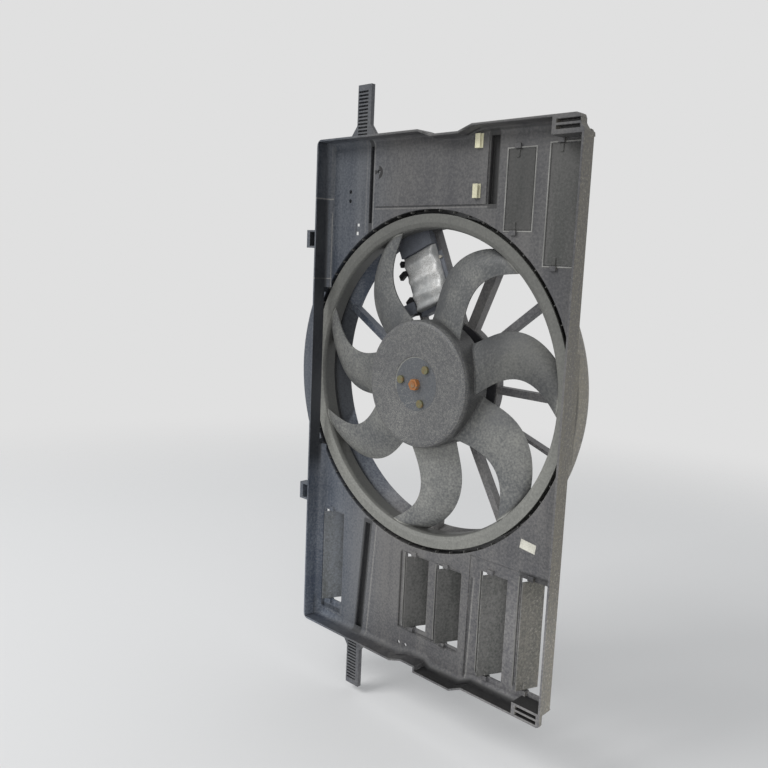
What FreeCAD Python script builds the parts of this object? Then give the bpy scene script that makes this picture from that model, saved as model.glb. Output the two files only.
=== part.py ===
import FreeCAD, Part
import math
import os
import re
import Sketcher

# A car radiator's fan shroud with its fan, motor, control module and ram-air flaps.
# X points to the right, +Z up, and -Y towards the radiator, which lies on the rim.
# The origin is the fan's axis in the plane of the rim. Lengths are in mm, angles in degrees.

doc = FreeCAD.newDocument("radiator_fan_shroud")
sheet = doc.addObject("Spreadsheet::Sheet", "Sizes")

# the moulding: its margins are from the opening's edge to the outer faces of its walls
shroud_sizes = {
    "rimDepth": 24,
    "bridgeDepth": 18,
    "skin": 2.5,
    "openingRadius": 215,
    "leftBite": 27,
    "rightMargin": 3,
    "topMargin": 91,
    "bottomMargin": 153,
    "cornerRound": 8,
    "dipStart": -8,
    "dipWide": 62,
    "dipDeep": 7,
    "dipSlope": 20,
    "notchStart": -15,
    "notchWide": 22,
    "notchDeep": 7,
    "notchSlope": 20,
    "lowStepAt": 87,
    "lowStepDeep": 9,
    "lowStepSlope": 18,
    "cornerWide": 36,
    "cornerDrop": 18,
    "cornerRise": 14,
    "clipBlockDeep": 12,
    "clipSlotTall": 4,
    "clipSlotDeep": 9,
    "tunnelDepth": 42,
    "tunnelStraight": 26,
    "tunnelTaper": 8,
    "bulgeReach": 17,
    "bulgeDepth": 12,
    "bulgeTaper": 12,
    "bulgeSpan": 78,
    "wallBevel": 6.5,
    "wallFill": 5,
    "wallPlain": 60,
    "fieldLeft": -98,
    "fieldRight": 83,
    "fieldGap": 4,
    "fieldRaise": 2,
    "channelWide": 6,
    "broadChannelWide": 12,
    "channelDepth": 6,
    "ribDeep": 8,
    "ribWide": 2,
    "recessDeep": 1,
    "stemPitch": 12,
}

# the seven vents lie between the opening and the top or bottom wall: the distance of the left
# side from a side wall or the axis, both ends' distance from the opening and the wall, and how
# far the flap stands open
vent_sizes = {
    "ventWide": 37,
    "farLeftIn": 15,
    "farLeftNear": -10,
    "farLeftFar": 32,
    "farLeftOpen": 65,
    "upperInnerIn": 108.5,
    "upperInnerNear": -25.5,
    "upperInnerFar": 27.5,
    "upperInnerOpen": 0,
    "upperOuterIn": 53,
    "upperOuterNear": -63,
    "upperOuterFar": 25,
    "upperOuterOpen": 0,
    "lowerInnerIn": -13,
    "lowerInnerNear": 11,
    "lowerInnerFar": 45,
    "lowerInnerOpen": 65,
    "lowerMiddleIn": 40.5,
    "lowerMiddleNear": 11.5,
    "lowerMiddleFar": 43,
    "lowerMiddleOpen": 65,
    "lowerRightIn": 109,
    "lowerRightNear": -1.5,
    "lowerRightFar": 26.5,
    "lowerRightOpen": 65,
    "lowerOuterIn": 52.5,
    "lowerOuterNear": -11,
    "lowerOuterFar": 31,
    "lowerOuterOpen": 70,
    "pivotShare": 0.37,
    "pegRadius": 1.5,
    "pegLength": 4,
    "bossWide": 8,
    "bossTall": 5.5,
    "flapThick": 2,
    "flapGap": 1.2,
    "flapEndGap": 0.35,
    "knuckleWide": 4,
    "knuckleLength": 9,
}

fit_sizes = {
    "runningFit": 0.05,
    "bearingFit": 0.03,
    "endPlay": 0.4,
    "screwFit": 0.2,
}

# the snap tongues and hooks that hold the moulding on the radiator's tanks
latch_sizes = {
    "tongueWide": 24,
    "tongueThick": 6,
    "tongueFlare": 11,
    "flareTall": 14,
    "upperTongueIn": 79,
    "upperTongueTall": 64,
    "lowerTongueIn": 96,
    "lowerTongueTall": 68,
    "railThin": 1.5,
    "railWide": 5.5,
    "rungPitch": 4.4,
    "rungSlot": 2.4,
    "rungDeep": 4.5,
    "hookReach": 23,
    "hookPlate": 6,
    "hookTall": 24,
    "hookDeep": 12,
    "upperHookFoot": 164,
    "lowerHookFoot": -194,
}

# the fan: depths count from the panel's front face, in front of it negative
fan_sizes = {
    "tipGap": 5.5,
    "lipWide": 17.5,
    "ringThick": 2.5,
    "lipBack": 1.5,
    "ringBack": 24,
    "ringBend": 7,
    "rearLip": 14,
    "hubRadius": 80,
    "hubFront": 15,
    "hubBack": 26,
    "hubSkin": 3,
    "hubBend": 5,
    "recessRadius": 34,
    "hubRecess": 1.5,
    "bladeThick": 2.4,
    "bladeCamber": 5,
    "bladeBite": 1.5,
    "fanScrewCircle": 25,
    "fanScrewTurn": 52,
    "screwRadius": 2.5,
    "screwHeadRadius": 5,
    "screwHeadTall": 3,
    "driverThick": 3.5,
    "driverBoss": 9,
    "driverBossLong": 3,
}

motor_sizes = {
    "carrierTaper": 11,
    "carrierThick": 3,
    "strutDeep": 12,
    "strutThick": 9,
    "broadStrutThick": 14,
    "thinStrutThick": 4,
    "strutFront": 48,
    "canRadius": 62,
    "seatGap": 2,
    "seatWide": 16,
    "canSkin": 2,
    "canFront": 2,
    "flangeWide": 16,
    "screwInset": 9,
    "shaftRadius": 4,
    "nutTall": 6,
    "nutFlats": 13,
    "shaftTip": 1,
    "bearingRadius": 11,
    "bearingLong": 7,
    "airGap": 1.5,
    "coreFront": 9,
    "coreLong": 28,
    "coreSlots": 10,
    "magnetThick": 13.5,
    "magnetSpan": 70,
    "coilInset": 7,
    "coilTall": 4,
    "commutatorRadius": 12,
    "commutatorLong": 13,
    "capDeep": 20,
    "capSkin": 2.5,
    "capTaper": 10.5,
    "brushPlateThick": 2,
    "brushLong": 14,
    "brushWide": 6,
    "springThin": 0.6,
}

# the control module stands beside the motor, its long side along a tilted radius
module_sizes = {
    "moduleTilt": 24,
    "moduleLeft": -12,
    "moduleWide": 56,
    "moduleGap": 12,
    "moduleRim": 7.5,
    "sinkRise": 5,
    "hoodTall": 15,
    "hoodRise": 9,
    "sinkBase": 4,
    "lobeCount": 4,
    "lobeTall": 9,
    "moduleBarThick": 5,
    "earThick": 2,
    "socketTall": 16,
    "socketLong": 14,
    "socketDeep": 12,
    "socketSkin": 2,
}

trim_sizes = {
    "clipThin": 0.8,
    "clipWide": 9,
    "clipTall": 16,
    "clipRise": 4,
    "clipAt": 66,
    "upperClipDrop": 24,
    "lowerClipRise": 11,
    "labelWide": 21,
    "labelTall": 11,
    "labelThin": 0.3,
    "labelIn": 58,
    "labelRise": 46,
    "labelTilt": 8,
}

sizes = {}
for group in (shroud_sizes, vent_sizes, fit_sizes, latch_sizes, fan_sizes, motor_sizes,
              module_sizes, trim_sizes):
    sizes.update(group)
for row, (name, size) in enumerate(sizes.items(), 1):
    sheet.set(f"A{row}", name)
    sheet.set(f"B{row}", str(size))
    sheet.setAlias(f"B{row}", name)
doc.recompute()

# Worked-out sizes, written in the sheet's own names.
derived = {
    "reachLeft": "openingRadius - leftBite",
    "reachRight": "openingRadius + rightMargin",
    "reachTop": "openingRadius + topMargin",
    "reachBottom": "openingRadius + bottomMargin",
    "fieldBottom": "openingRadius + fieldGap",
    "upperTongueAt": "-reachLeft + upperTongueIn",
    "lowerTongueAt": "-reachLeft + lowerTongueIn",
    "farLeftAt": "-reachLeft + farLeftIn",
    "upperInnerAt": "reachRight - upperInnerIn",
    "upperOuterAt": "reachRight - upperOuterIn",
    "lowerInnerAt": "lowerInnerIn",
    "lowerMiddleAt": "lowerMiddleIn",
    "lowerRightAt": "reachRight - lowerRightIn",
    "lowerOuterAt": "reachRight - lowerOuterIn",
    "upperInnerFoot": "openingRadius + upperInnerNear",
    "upperInnerHead": "reachTop - upperInnerFar",
    "upperOuterFoot": "openingRadius + upperOuterNear",
    "upperOuterHead": "reachTop - upperOuterFar",
    "farLeftFoot": "-reachBottom + farLeftFar",
    "farLeftHead": "-openingRadius - farLeftNear",
    "lowerInnerFoot": "-reachBottom + lowerInnerFar",
    "lowerInnerHead": "-openingRadius - lowerInnerNear",
    "lowerMiddleFoot": "-reachBottom + lowerMiddleFar",
    "lowerMiddleHead": "-openingRadius - lowerMiddleNear",
    "lowerRightFoot": "-reachBottom + lowerRightFar",
    "lowerRightHead": "-openingRadius - lowerRightNear",
    "lowerOuterFoot": "-reachBottom + lowerOuterFar",
    "lowerOuterHead": "-openingRadius - lowerOuterNear",
    "lipRadius": "openingRadius - tipGap",
    "ringRadius": "lipRadius - lipWide",
    "carrierEnd": "tunnelEnd - carrierTaper",
    "carrierInner": "carrierEnd - carrierThick",
    "mountInner": "canRadius + seatGap",
    "mountOuter": "mountInner + seatWide",
    "flangeRadius": "canRadius + flangeWide",
    "motorScrewCircle": "canRadius + screwInset",
    "coreRadius": "canRadius - canSkin - magnetThick - airGap",
    "coilRadius": "coreRadius - coilInset",
    "moduleFoot": "mountOuter + moduleGap",
    "sinkFoot": "moduleFoot + sinkRise",
    "moduleTop": "carrierInner - moduleRim",
    "sinkTop": "moduleTop - hoodTall",
    "upperClipFoot": "reachTop - upperClipDrop",
    "lowerClipFoot": "openingRadius + lowerClipRise",
    "labelAt": "reachRight - labelIn",
    "labelFoot": "-openingRadius + labelRise",
    "panelBack": "rimDepth + skin",
    "tunnelBack": "rimDepth + tunnelDepth",
    "tunnelOuter": "openingRadius + skin",
    "tunnelEnd": "tunnelOuter - tunnelTaper",
    "tunnelBend": "rimDepth + tunnelStraight",
    "pivotDeep": "rimDepth + skin / 2",
    "hubFace": "rimDepth - hubFront",
    "recessFloor": "hubFace + hubRecess",
    "recessBack": "recessFloor + hubSkin",
    "driverBack": "recessBack + driverThick",
    "canFace": "driverBack + driverBossLong + canFront",
    "mountFront": "rimDepth + strutFront",
    "mountBack": "mountFront + strutDeep",
    "capBack": "mountFront + capDeep",
    "coreStart": "canFace + coreFront",
    "coreEnd": "coreStart + coreLong",
    "brushPlateFront": "mountFront + capSkin",
    "rearBearing": "capBack - capSkin - bearingLong",
    "moduleRight": "moduleLeft + moduleWide",
    "moduleFace": "mountFront - earThick",
    "sinkFace": "moduleFace - sinkBase",
    "tongueFront": "(rimDepth - tongueThick) / 2",
}


def bound(text):
    """The expression with every size's name pointed at its cell."""
    def point(match):
        word = match.group()
        if word in derived:
            return f"({bound(derived[word])})"
        return f"Sizes.{word}" if word in sizes else word
    return re.sub(r"[A-Za-z_]\w*", point, str(text))


def value(text):
    return float(sheet.evalExpression(bound(text)))


def bind(thing, **expressions):
    for prop, text in expressions.items():
        thing.setExpression(prop.replace("__", "."), bound(text))
    return thing


# Part primitives in the shroud's frame

def block(name, x, y, z):
    """A box between two expressions along each axis."""
    box = doc.addObject("Part::Box", name)
    for prop, axis, (low, high) in (("Length", "x", x), ("Width", "y", y), ("Height", "z", z)):
        box.setExpression(prop, bound(f"({high}) - ({low})"))
        box.setExpression(f"Placement.Base.{axis}", bound(low))
    return box


def rod(name, radius, depth, x="0", z="0"):
    """A cylinder along Y between two depths."""
    bar = doc.addObject("Part::Cylinder", name)
    bar.Placement.Rotation = FreeCAD.Rotation(FreeCAD.Vector(1, 0, 0), -90)
    front, back = depth
    return bind(bar, Radius=radius, Height=f"({back}) - ({front})", Placement__Base__x=x,
                Placement__Base__y=front, Placement__Base__z=z)


def post(name, radius, x, y, span):
    """A cylinder along Z between two heights."""
    low, high = span
    return bind(doc.addObject("Part::Cylinder", name), Radius=radius, Height=f"({high}) - ({low})",
                Placement__Base__x=x, Placement__Base__y=y, Placement__Base__z=low)


def join(name, shapes):
    joined = doc.addObject("Part::MultiFuse", name)
    joined.Shapes = shapes
    return joined


def group(name, shapes):
    several = doc.addObject("Part::Compound", name)
    several.Links = shapes
    return several


def cut(name, base, tool):
    trimmed = doc.addObject("Part::Cut", name)
    trimmed.Base = base
    trimmed.Tool = tool
    return trimmed


def around_axis(thing, angle):
    """Turns a piece about the fan's axis, from +X towards +Z."""
    thing.Placement = FreeCAD.Placement(FreeCAD.Vector(), FreeCAD.Rotation(FreeCAD.Vector(0, -1, 0), 0))
    return bind(thing, Placement__Rotation__Angle=angle)


# Sketches and the features that use them

def new_body(name):
    body = doc.addObject("PartDesign::Body", name)
    body.Label = name
    return body


def new_sketch(body, role, offset="0"):
    drawing = body.newObject("Sketcher::SketchObject", "outline")
    plane = next(f for f in body.Origin.OriginFeatures if f.Role == role)
    drawing.AttachmentSupport = [(plane, "")]
    drawing.MapMode = "FlatFace"
    drawing.setExpression("AttachmentOffset.Base.z", bound(offset))
    return drawing


def front_sketch(body, depth):
    """A sketch that looks along +Y at the given depth: its x is X and its y is Z."""
    return new_sketch(body, "XZ_Plane", f"-({depth})")


def pins(element, end, corner):
    """Constraints that hold one point at its corner, each with the text that drives it."""
    return [(Sketcher.Constraint(kind, -1, 1, element, end, value(text)), text)
            for kind, text in zip(("DistanceX", "DistanceY"), corner)]


def constrain(drawing, pairs):
    """Adds all the constraints at once, then binds those that have a text."""
    indices = drawing.addConstraint([constraint for constraint, text in pairs])
    for index, (constraint, text) in zip(indices, pairs):
        if text:
            drawing.setExpression(f"Constraints[{index}]", bound(text))


def draw_outlines(drawing, outlines):
    """Closed runs of straight edges, each through its corners."""
    edges = []
    pairs = []
    for corners in outlines:
        first = len(edges)
        places = [FreeCAD.Vector(value(x), value(y), 0) for x, y in corners]
        edges += [Part.LineSegment(*ends) for ends in zip(places, places[1:] + places[:1])]
        for index, corner in enumerate(corners):
            following = first + (index + 1) % len(corners)
            pairs.append((Sketcher.Constraint("Coincident", first + index, 2, following, 1), ""))
            pairs += pins(first + index, 1, corner)
    drawing.addGeometry(edges)
    constrain(drawing, pairs)


def draw_outline(drawing, corners):
    draw_outlines(drawing, [corners])


def draw_rectangle(drawing, across, up):
    (left, right), (low, high) = across, up
    draw_outline(drawing, [(left, low), (right, low), (right, high), (left, high)])


def draw_circle(drawing, x, y, radius):
    centre = FreeCAD.Vector(value(x), value(y), 0)
    index = drawing.addGeometry(Part.Circle(centre, FreeCAD.Vector(0, 0, 1), value(radius)))
    if value(x) == 0 and value(y) == 0:
        place = [(Sketcher.Constraint("Coincident", index, 3, -1, 1), "")]
    else:
        place = pins(index, 3, (x, y))
    constrain(drawing, place + [(Sketcher.Constraint("Radius", index, value(radius)), radius)])


volumes = {}


def feature(body, kind, drawing, **expressions):
    """Adds a feature and makes sure that it changed the body the way its kind should."""
    before = volumes.get(body.Name, 0)
    made = body.newObject(f"PartDesign::{kind}", kind.lower())
    made.Profile = drawing
    if kind == "Revolution":
        made.ReferenceAxis = (drawing, ["V_Axis"])
    if kind == "Pad":
        made.Reversed = True
    bind(made, **expressions)
    doc.recompute()
    volumes[body.Name] = made.Shape.Volume
    grown = volumes[body.Name] - before
    if (grown <= 0) != (kind in ("Pocket", "Groove")):
        raise ValueError(f"{kind} of {body.Label} changed its volume by {grown}")
    return made


def pad(body, corners, depth):
    """Plastic between two depths, over one outline or a list of them."""
    front, back = depth
    drawing = front_sketch(body, front)
    draw_outlines(drawing, corners if isinstance(corners[0], list) else [corners])
    return feature(body, "Pad", drawing, Length=f"({back}) - ({front})")


def pocket(body, corners, depth):
    front, back = depth
    drawing = front_sketch(body, front)
    draw_outlines(drawing, corners if isinstance(corners[0], list) else [corners])
    return feature(body, "Pocket", drawing, Length=f"({back}) - ({front})")


def holes(body, places, radius, depth):
    front, back = depth
    drawing = front_sketch(body, front)
    for x, z in places:
        draw_circle(drawing, x, z, radius)
    return feature(body, "Pocket", drawing, Length=f"({back}) - ({front})")


def turned(name, profile):
    """A body turned about the fan's axis from a profile of (radius, depth) corners."""
    body = new_body(name)
    drawing = new_sketch(body, "XY_Plane")
    draw_outline(drawing, profile)
    feature(body, "Revolution", drawing)
    return body


def round_edges(body, radius, wanted):
    """Fillets the edges of the body for which wanted is true."""
    picked = [f"Edge{i}" for i, edge in enumerate(body.Shape.Edges, 1) if wanted(edge)]
    if not picked:
        raise ValueError(f"no edge to round on {body.Label}")
    smooth = body.newObject("PartDesign::Fillet", "fillet")
    smooth.Base = (body.Tip if body.Tip != smooth else smooth.BaseFeature, picked)
    bind(smooth, Radius=radius)
    doc.recompute()
    volumes[body.Name] = smooth.Shape.Volume


def rectangle(left, right, low, high):
    return [(left, low), (right, low), (right, high), (left, high)]


# The moulding: a shallow tray with its open side to the radiator

def rim_corners(inset):
    """The tray's outline, moved inwards by the inset."""
    left, right = f"-reachLeft + {inset}", f"reachRight - {inset}"
    top, bottom = f"reachTop - {inset}", f"-reachBottom + {inset}"
    dip_right = "dipStart + dipWide"
    corner_left = f"reachRight - cornerWide - {inset}"
    notch_right = f"notchStart + notchSlope + notchWide + {inset}"
    return [
        (left, top),
        ("dipStart", top),
        ("dipStart + dipSlope", f"{top} - dipDeep"),
        (dip_right, f"{top} - dipDeep"),
        (f"{dip_right} + dipSlope", top),
        (corner_left, top),
        (corner_left, f"{top} - cornerDrop"),
        (right, f"{top} - cornerDrop"),
        (right, f"{bottom} + lowStepDeep + cornerRise"),
        (corner_left, f"{bottom} + lowStepDeep + cornerRise"),
        (corner_left, f"{bottom} + lowStepDeep"),
        ("lowStepAt + lowStepSlope", f"{bottom} + lowStepDeep"),
        ("lowStepAt", bottom),
        (notch_right, bottom),
        (notch_right, f"{bottom} + notchDeep"),
        ("notchStart + notchSlope", f"{bottom} + notchDeep"),
        ("notchStart", bottom),
        (left, bottom),
    ]


vents = {
    "flap_far_left": "farLeft",
    "flap_upper_inner": "upperInner",
    "flap_upper_outer": "upperOuter",
    "flap_lower_inner": "lowerInner",
    "flap_lower_middle": "lowerMiddle",
    "flap_lower_right": "lowerRight",
    "flap_lower_outer": "lowerOuter",
}


def vent_pivot(vent):
    return f"{vent}At + ventWide * pivotShare"


def add_bulge(body):
    """The tunnel's swollen wall, which stands out past the tray's left wall."""
    drawing = new_sketch(body, "XY_Plane")
    outer = "openingRadius + bulgeReach"
    profile = [
        ("openingRadius", "rimDepth"),
        (outer, "rimDepth"),
        (outer, "rimDepth + bulgeDepth"),
        ("tunnelOuter", "rimDepth + bulgeDepth + bulgeTaper"),
        ("tunnelOuter", "rimDepth + bulgeDepth + bulgeTaper - skin"),
        (f"{outer} - skin", "rimDepth + bulgeDepth - skin / 2"),
        (f"{outer} - skin", "panelBack"),
        ("openingRadius", "panelBack"),
    ]
    draw_outline(drawing, [(f"-({x})", y) for x, y in profile])
    made = feature(body, "Revolution", drawing, Angle="bulgeSpan")
    made.Midplane = True


def bevel_wall(body, low, high):
    """Slopes the corner between the tray and the right wall, inside and outside."""
    corner = "reachRight - skin"
    drawing = new_sketch(body, "XY_Plane", f"{high} - skin")
    draw_outline(drawing, [(corner, "rimDepth"), (f"{corner} - wallFill", "rimDepth"),
                           (corner, "rimDepth - wallFill")])
    feature(body, "Pad", drawing, Length=f"{high} - ({low}) - 2 * skin")
    drawing = new_sketch(body, "XY_Plane", high)
    draw_outline(drawing, [("reachRight", "panelBack"), ("reachRight - wallBevel", "panelBack"),
                           ("reachRight", "panelBack - wallBevel")])
    feature(body, "Pocket", drawing, Length=f"{high} - ({low})")


def make_tongue(at, root, tall, way):
    """A ladder-like snap tongue on the top wall (way 1) or the bottom wall (way -1)."""
    body = new_body("tongue")
    left, right = f"{at} - tongueWide / 2", f"{at} + tongueWide / 2"
    depth = ("tongueFront", "tongueFront + tongueThick")
    pad(body, [
        (f"{left} - tongueFlare", root),
        (f"{right} + tongueFlare", root),
        (right, f"{root} + {way} * flareTall"),
        (right, f"{root} + {way} * {tall}"),
        (left, f"{root} + {way} * {tall}"),
        (left, f"{root} + {way} * flareTall"),
    ], depth)
    rungs = int((value(tall) - value("skin")) / value("rungPitch"))
    slots = []
    for rung in range(rungs):
        start = f"{root} + {way} * (skin / 2 + {rung} * rungPitch)"
        slots.append(rectangle(f"{left} + railThin", f"{right} - railWide", start,
                               f"{start} + {way} * rungSlot"))
    pocket(body, slots, ("tongueFront", "tongueFront + rungDeep"))
    return body


def make_hook(foot):
    """A hollow hook on the left wall that drops into the radiator's side bracket."""
    body = new_body("hook")
    depth = ("rimDepth / 2 - hookDeep / 2", "rimDepth / 2 + hookDeep / 2")
    outer = "-reachLeft - hookReach"
    pad(body, rectangle(outer, "-reachLeft", foot, f"{foot} + hookTall"), depth)
    pocket(body, rectangle(f"{outer} + hookPlate", "-reachLeft - skin", f"{foot} + skin",
                           f"{foot} + hookTall - skin"), (depth[0], f"{depth[1]} - skin"))
    return body


def make_catch(low, high):
    """A slotted catch in a right-hand corner of the rim."""
    body = new_body("catch")
    left = "reachRight - cornerWide"
    pad(body, rectangle(f"{left} - skin", "reachRight", low, high), ("0", "clipBlockDeep"))
    middle = f"(({low}) + ({high})) / 2"
    slots = []
    for way in (-1, 1):
        near = f"{middle} + {way} * skin / 2"
        slots.append(rectangle(f"{left} + skin", "reachRight - 2 * skin", near,
                               f"{near} + {way} * clipSlotTall"))
    pocket(body, slots, ("0", "clipSlotDeep"))
    return body


def add_channel(body, left, right):
    """A pressed channel: each side is its lower and upper point."""
    (left_low, left_high), (right_low, right_high) = left, right
    def outline(grow):
        return [(f"{left_low[0]} - {grow}", f"{left_low[1]} - {grow}"),
                (f"{right_low[0]} + {grow}", f"{right_low[1]} - {grow}"),
                (f"{right_high[0]} + {grow}", f"{right_high[1]} + {grow}"),
                (f"{left_high[0]} - {grow}", f"{left_high[1]} + {grow}")]
    pad(body, outline("skin"), ("rimDepth + recessDeep", "panelBack + channelDepth"))
    pocket(body, outline("0"), ("rimDepth", "rimDepth + channelDepth"))


def make_panel():
    body = new_body("panel_form")
    pad(body, rim_corners("0"), ("0", "panelBack"))
    round_edges(body, "cornerRound", lambda edge: (
        edge.Length > value("rimDepth") and edge.BoundBox.XLength < 0.01
        and edge.BoundBox.ZLength < 0.01 and abs(edge.CenterOfMass.x + value("reachLeft")) < 0.01))
    pocket(body, rim_corners("skin"), ("0", "rimDepth"))

    low_foot = "-reachBottom + lowStepDeep"
    bevel_wall(body, low_foot, "-wallPlain")
    bevel_wall(body, "wallPlain", "reachTop")
    tunnel = new_sketch(body, "XY_Plane")
    draw_outline(tunnel, [("openingRadius", "rimDepth + recessDeep"),
                          ("tunnelOuter", "rimDepth + recessDeep"),
                          ("tunnelOuter", "tunnelBend"), ("tunnelEnd", "tunnelBack"),
                          ("tunnelEnd - skin", "tunnelBack"), ("openingRadius", "tunnelBend")])
    feature(body, "Revolution", tunnel)
    add_bulge(body)
    holes(body, [("0", "0")], "openingRadius", ("bridgeDepth", "tunnelBend"))

    # the raised field between the upper channels, and the sunk fields round the lower vents
    top = "reachTop - skin"
    dip_left, dip_right = "dipStart", "dipStart + dipWide"
    field = [("fieldLeft", "fieldBottom"), ("fieldRight", "fieldBottom"), ("fieldRight", top),
             (f"{dip_right} + dipSlope + skin", top), (f"{dip_right} + skin", f"{top} - dipDeep"),
             (f"{dip_left} + dipSlope - skin", f"{top} - dipDeep"), (f"{dip_left} - skin", top),
             ("fieldLeft", top)]
    pad(body, field, ("rimDepth - fieldRaise", "rimDepth"))
    pocket(body, [
        rectangle("lowerInnerAt - 10", "lowerMiddleAt + ventWide + 1", "lowerMiddleFoot - 5",
                  "lowerInnerHead + 2"),
        rectangle("farLeftAt - 4", "farLeftAt + ventWide + 1", "farLeftFoot - 19", "farLeftHead + 2"),
        rectangle("lowStepAt + 3", "reachRight - skin - wallFill", f"{low_foot} + skin",
                  "lowerOuterHead + 6"),
    ], ("rimDepth", "rimDepth + recessDeep"))
    left, right = "fieldLeft - 2 * channelWide + 1", "fieldLeft - channelWide + 1"
    add_channel(body, ((left, "openingRadius - 17"), (left, top)), ((right, "openingRadius - 17"), (right, top)))
    left, right = "fieldRight + 2", "fieldRight + 2 + broadChannelWide"
    add_channel(body, ((left, "fieldBottom"), (left, top)), ((right, "fieldBottom"), (right, top)))
    foot, head = "-reachBottom + skin", "-openingRadius + 11"
    left, right = "lowerTongueAt - 13", "lowerTongueAt"
    add_channel(body, ((left, foot), (right, head)), ((f"{left} + broadChannelWide", foot),
                                                     (f"{right} + broadChannelWide - 2", head)))

    # stiffening ribs on the engine side
    behind = ("panelBack - recessDeep", "panelBack + ribDeep")
    low_wall = "-reachBottom + lowStepDeep + 2 * skin"
    ribs = [
        rectangle("-reachLeft + skin", "fieldLeft - 15", "reachTop - 56", "reachTop - 56 + ribWide"),
        rectangle("fieldLeft", "fieldRight", "reachTop - 48", "reachTop - 48 + ribWide"),
        rectangle("dipStart", "dipStart + ribWide", "reachTop - 44", "reachTop - 2 * skin - dipDeep"),
        rectangle("lowerTongueAt + 12", "lowerInnerAt - 15", "-reachBottom + 78",
                  "-reachBottom + 78 + ribWide"),
        rectangle("lowerInnerAt - 43", "lowerInnerAt - 43 + ribWide", "-reachBottom + skin",
                  "-reachBottom + 76"),
        rectangle("lowerRightAt - 17", "lowerRightAt - 17 + ribWide", low_wall, "-openingRadius"),
        rectangle("lowerOuterAt - 10", "lowerOuterAt - 10 + ribWide", low_wall, "-openingRadius"),
    ]
    pad(body, ribs, behind)

    # pivot bosses at both ends of every vent, the vents themselves and the peg holes
    bosses = []
    windows = []
    for vent in vents.values():
        pivot = vent_pivot(vent)
        foot, head = f"{vent}Foot", f"{vent}Head"
        across = (f"{pivot} - bossWide / 2", f"{pivot} + bossWide / 2")
        bosses.append(rectangle(*across, f"{foot} - bossTall", foot))
        bosses.append(rectangle(*across, head, f"{head} + bossTall"))
        windows.append(rectangle(f"{vent}At", f"{vent}At + ventWide", foot, head))
    pad(body, bosses, ("pivotDeep - bossWide / 2", "pivotDeep + bossWide / 2"))
    pocket(body, windows, ("rimDepth - recessDeep", "panelBack + recessDeep"))
    for vent in vents.values():
        reach = "(pegLength + endPlay + flapEndGap)"
        drawing = new_sketch(body, "XY_Plane", f"{vent}Head + {reach}")
        draw_circle(drawing, vent_pivot(vent), "pivotDeep", "pegRadius + runningFit")
        feature(body, "Pocket", drawing, Length=f"{vent}Head - {vent}Foot + 2 * {reach}")

    holes(body, [("-reachLeft + 43", "reachTop - 67"), ("-reachLeft + 43", "reachTop - 67 - stemPitch"),
                 ("fieldLeft + 6", "reachTop - 43"), ("lowerInnerAt - 8", "-reachBottom + 16"),
                 ("lowerInnerAt - 8 + stemPitch", "-reachBottom + 16")],
          "screwRadius", ("rimDepth - fieldRaise", "panelBack + recessDeep"))
    return join("shroud_panel", [
        body,
        make_tongue("upperTongueAt", "reachTop", "upperTongueTall", 1),
        make_tongue("lowerTongueAt", "-reachBottom", "lowerTongueTall", -1),
        make_hook("upperHookFoot"),
        make_hook("lowerHookFoot"),
        make_catch("reachTop - cornerDrop - skin", "reachTop"),
        make_catch(low_foot, f"{low_foot} + cornerRise + skin"),
    ])


# The carrier behind the fan: a ring on the tunnel's end, struts and the motor's seat

# each strut: angle, thickness, and how far its middle line passes beside the axis
struts = [
    ("-92", "strutThick", "0"), ("-60.3", "strutThick", "1.7"), ("-20", "thinStrutThick", "-8.4"),
    ("-0.5", "strutThick", "-0.7"), ("38", "strutThick", "1.4"), ("67", "broadStrutThick", "-2.7"),
    ("148.7", "strutThick", "24.4"), ("214", "strutThick", "0"),
]


def make_carrier():
    rim = turned("carrier_rim", [
        ("tunnelEnd - carrierThick", "tunnelBack"), ("tunnelEnd", "tunnelBack"),
        ("carrierEnd", "mountBack"), ("carrierInner", "mountBack")])
    seat = turned("motor_seat", [("mountInner", "mountFront"), ("mountOuter", "mountFront"),
                                 ("mountOuter", "mountBack"), ("mountInner", "mountBack")])
    bars = []
    for angle, thick, aside in struts:
        low = f"{aside} - {thick} / 2"
        bar = block("strut", ("mountInner + skin", "tunnelEnd"), ("mountFront", "mountBack"),
                    (low, f"{aside} + {thick} / 2"))
        base = FreeCAD.Vector(value("mountInner + skin"), value("mountFront"), value(low))
        for axis in "xyz":
            bar.setExpression(f"Placement.Base.{axis}", None)
        turn = FreeCAD.Rotation(FreeCAD.Vector(0, -1, 0), float(angle))
        bar.Placement = FreeCAD.Placement(turn.multVec(base), turn)
        bars.append(bar)
    # two bars either side of the control module, parallel to its long side
    for name, near, far in (("left_bar", "moduleLeft - moduleBarThick", "moduleLeft"),
                            ("right_bar", "moduleRight", "moduleRight + moduleBarThick")):
        start = f"sqrt(mountOuter^2 - ({far})^2) - 2 * skin"
        end = f"sqrt(tunnelEnd^2 - ({far})^2)"
        side = block(name, (near, far), ("mountFront", "mountBack"), (start, end))
        bars.append(around_axis(group(name + "_placed", [side]), "moduleTilt"))
    hull = turned("carrier_hull", [
        ("0", "tunnelBack"), ("tunnelEnd - carrierThick / 6", "tunnelBack"),
        ("carrierEnd - carrierThick / 6", "mountBack"), ("0", "mountBack")])
    trimmed = doc.addObject("Part::MultiCommon", "carrier_bars")
    trimmed.Shapes = [join("bars_whole", bars), hull]
    pieces = [rim, seat, trimmed]
    whole = join("carrier_whole", pieces)
    drills = [motor_screw_rod("seat_hole", i, "screwRadius + bearingFit / 2", ("mountFront", "mountBack"))
              for i in range(3)]
    return cut("fan_carrier", whole, group("seat_holes", drills))


def motor_screw_rod(name, index, radius, depth):
    angle = math.radians(90 + index * 120)
    return rod(name, radius, depth, f"motorScrewCircle * {math.cos(angle)}",
               f"motorScrewCircle * {math.sin(angle)}")


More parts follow.
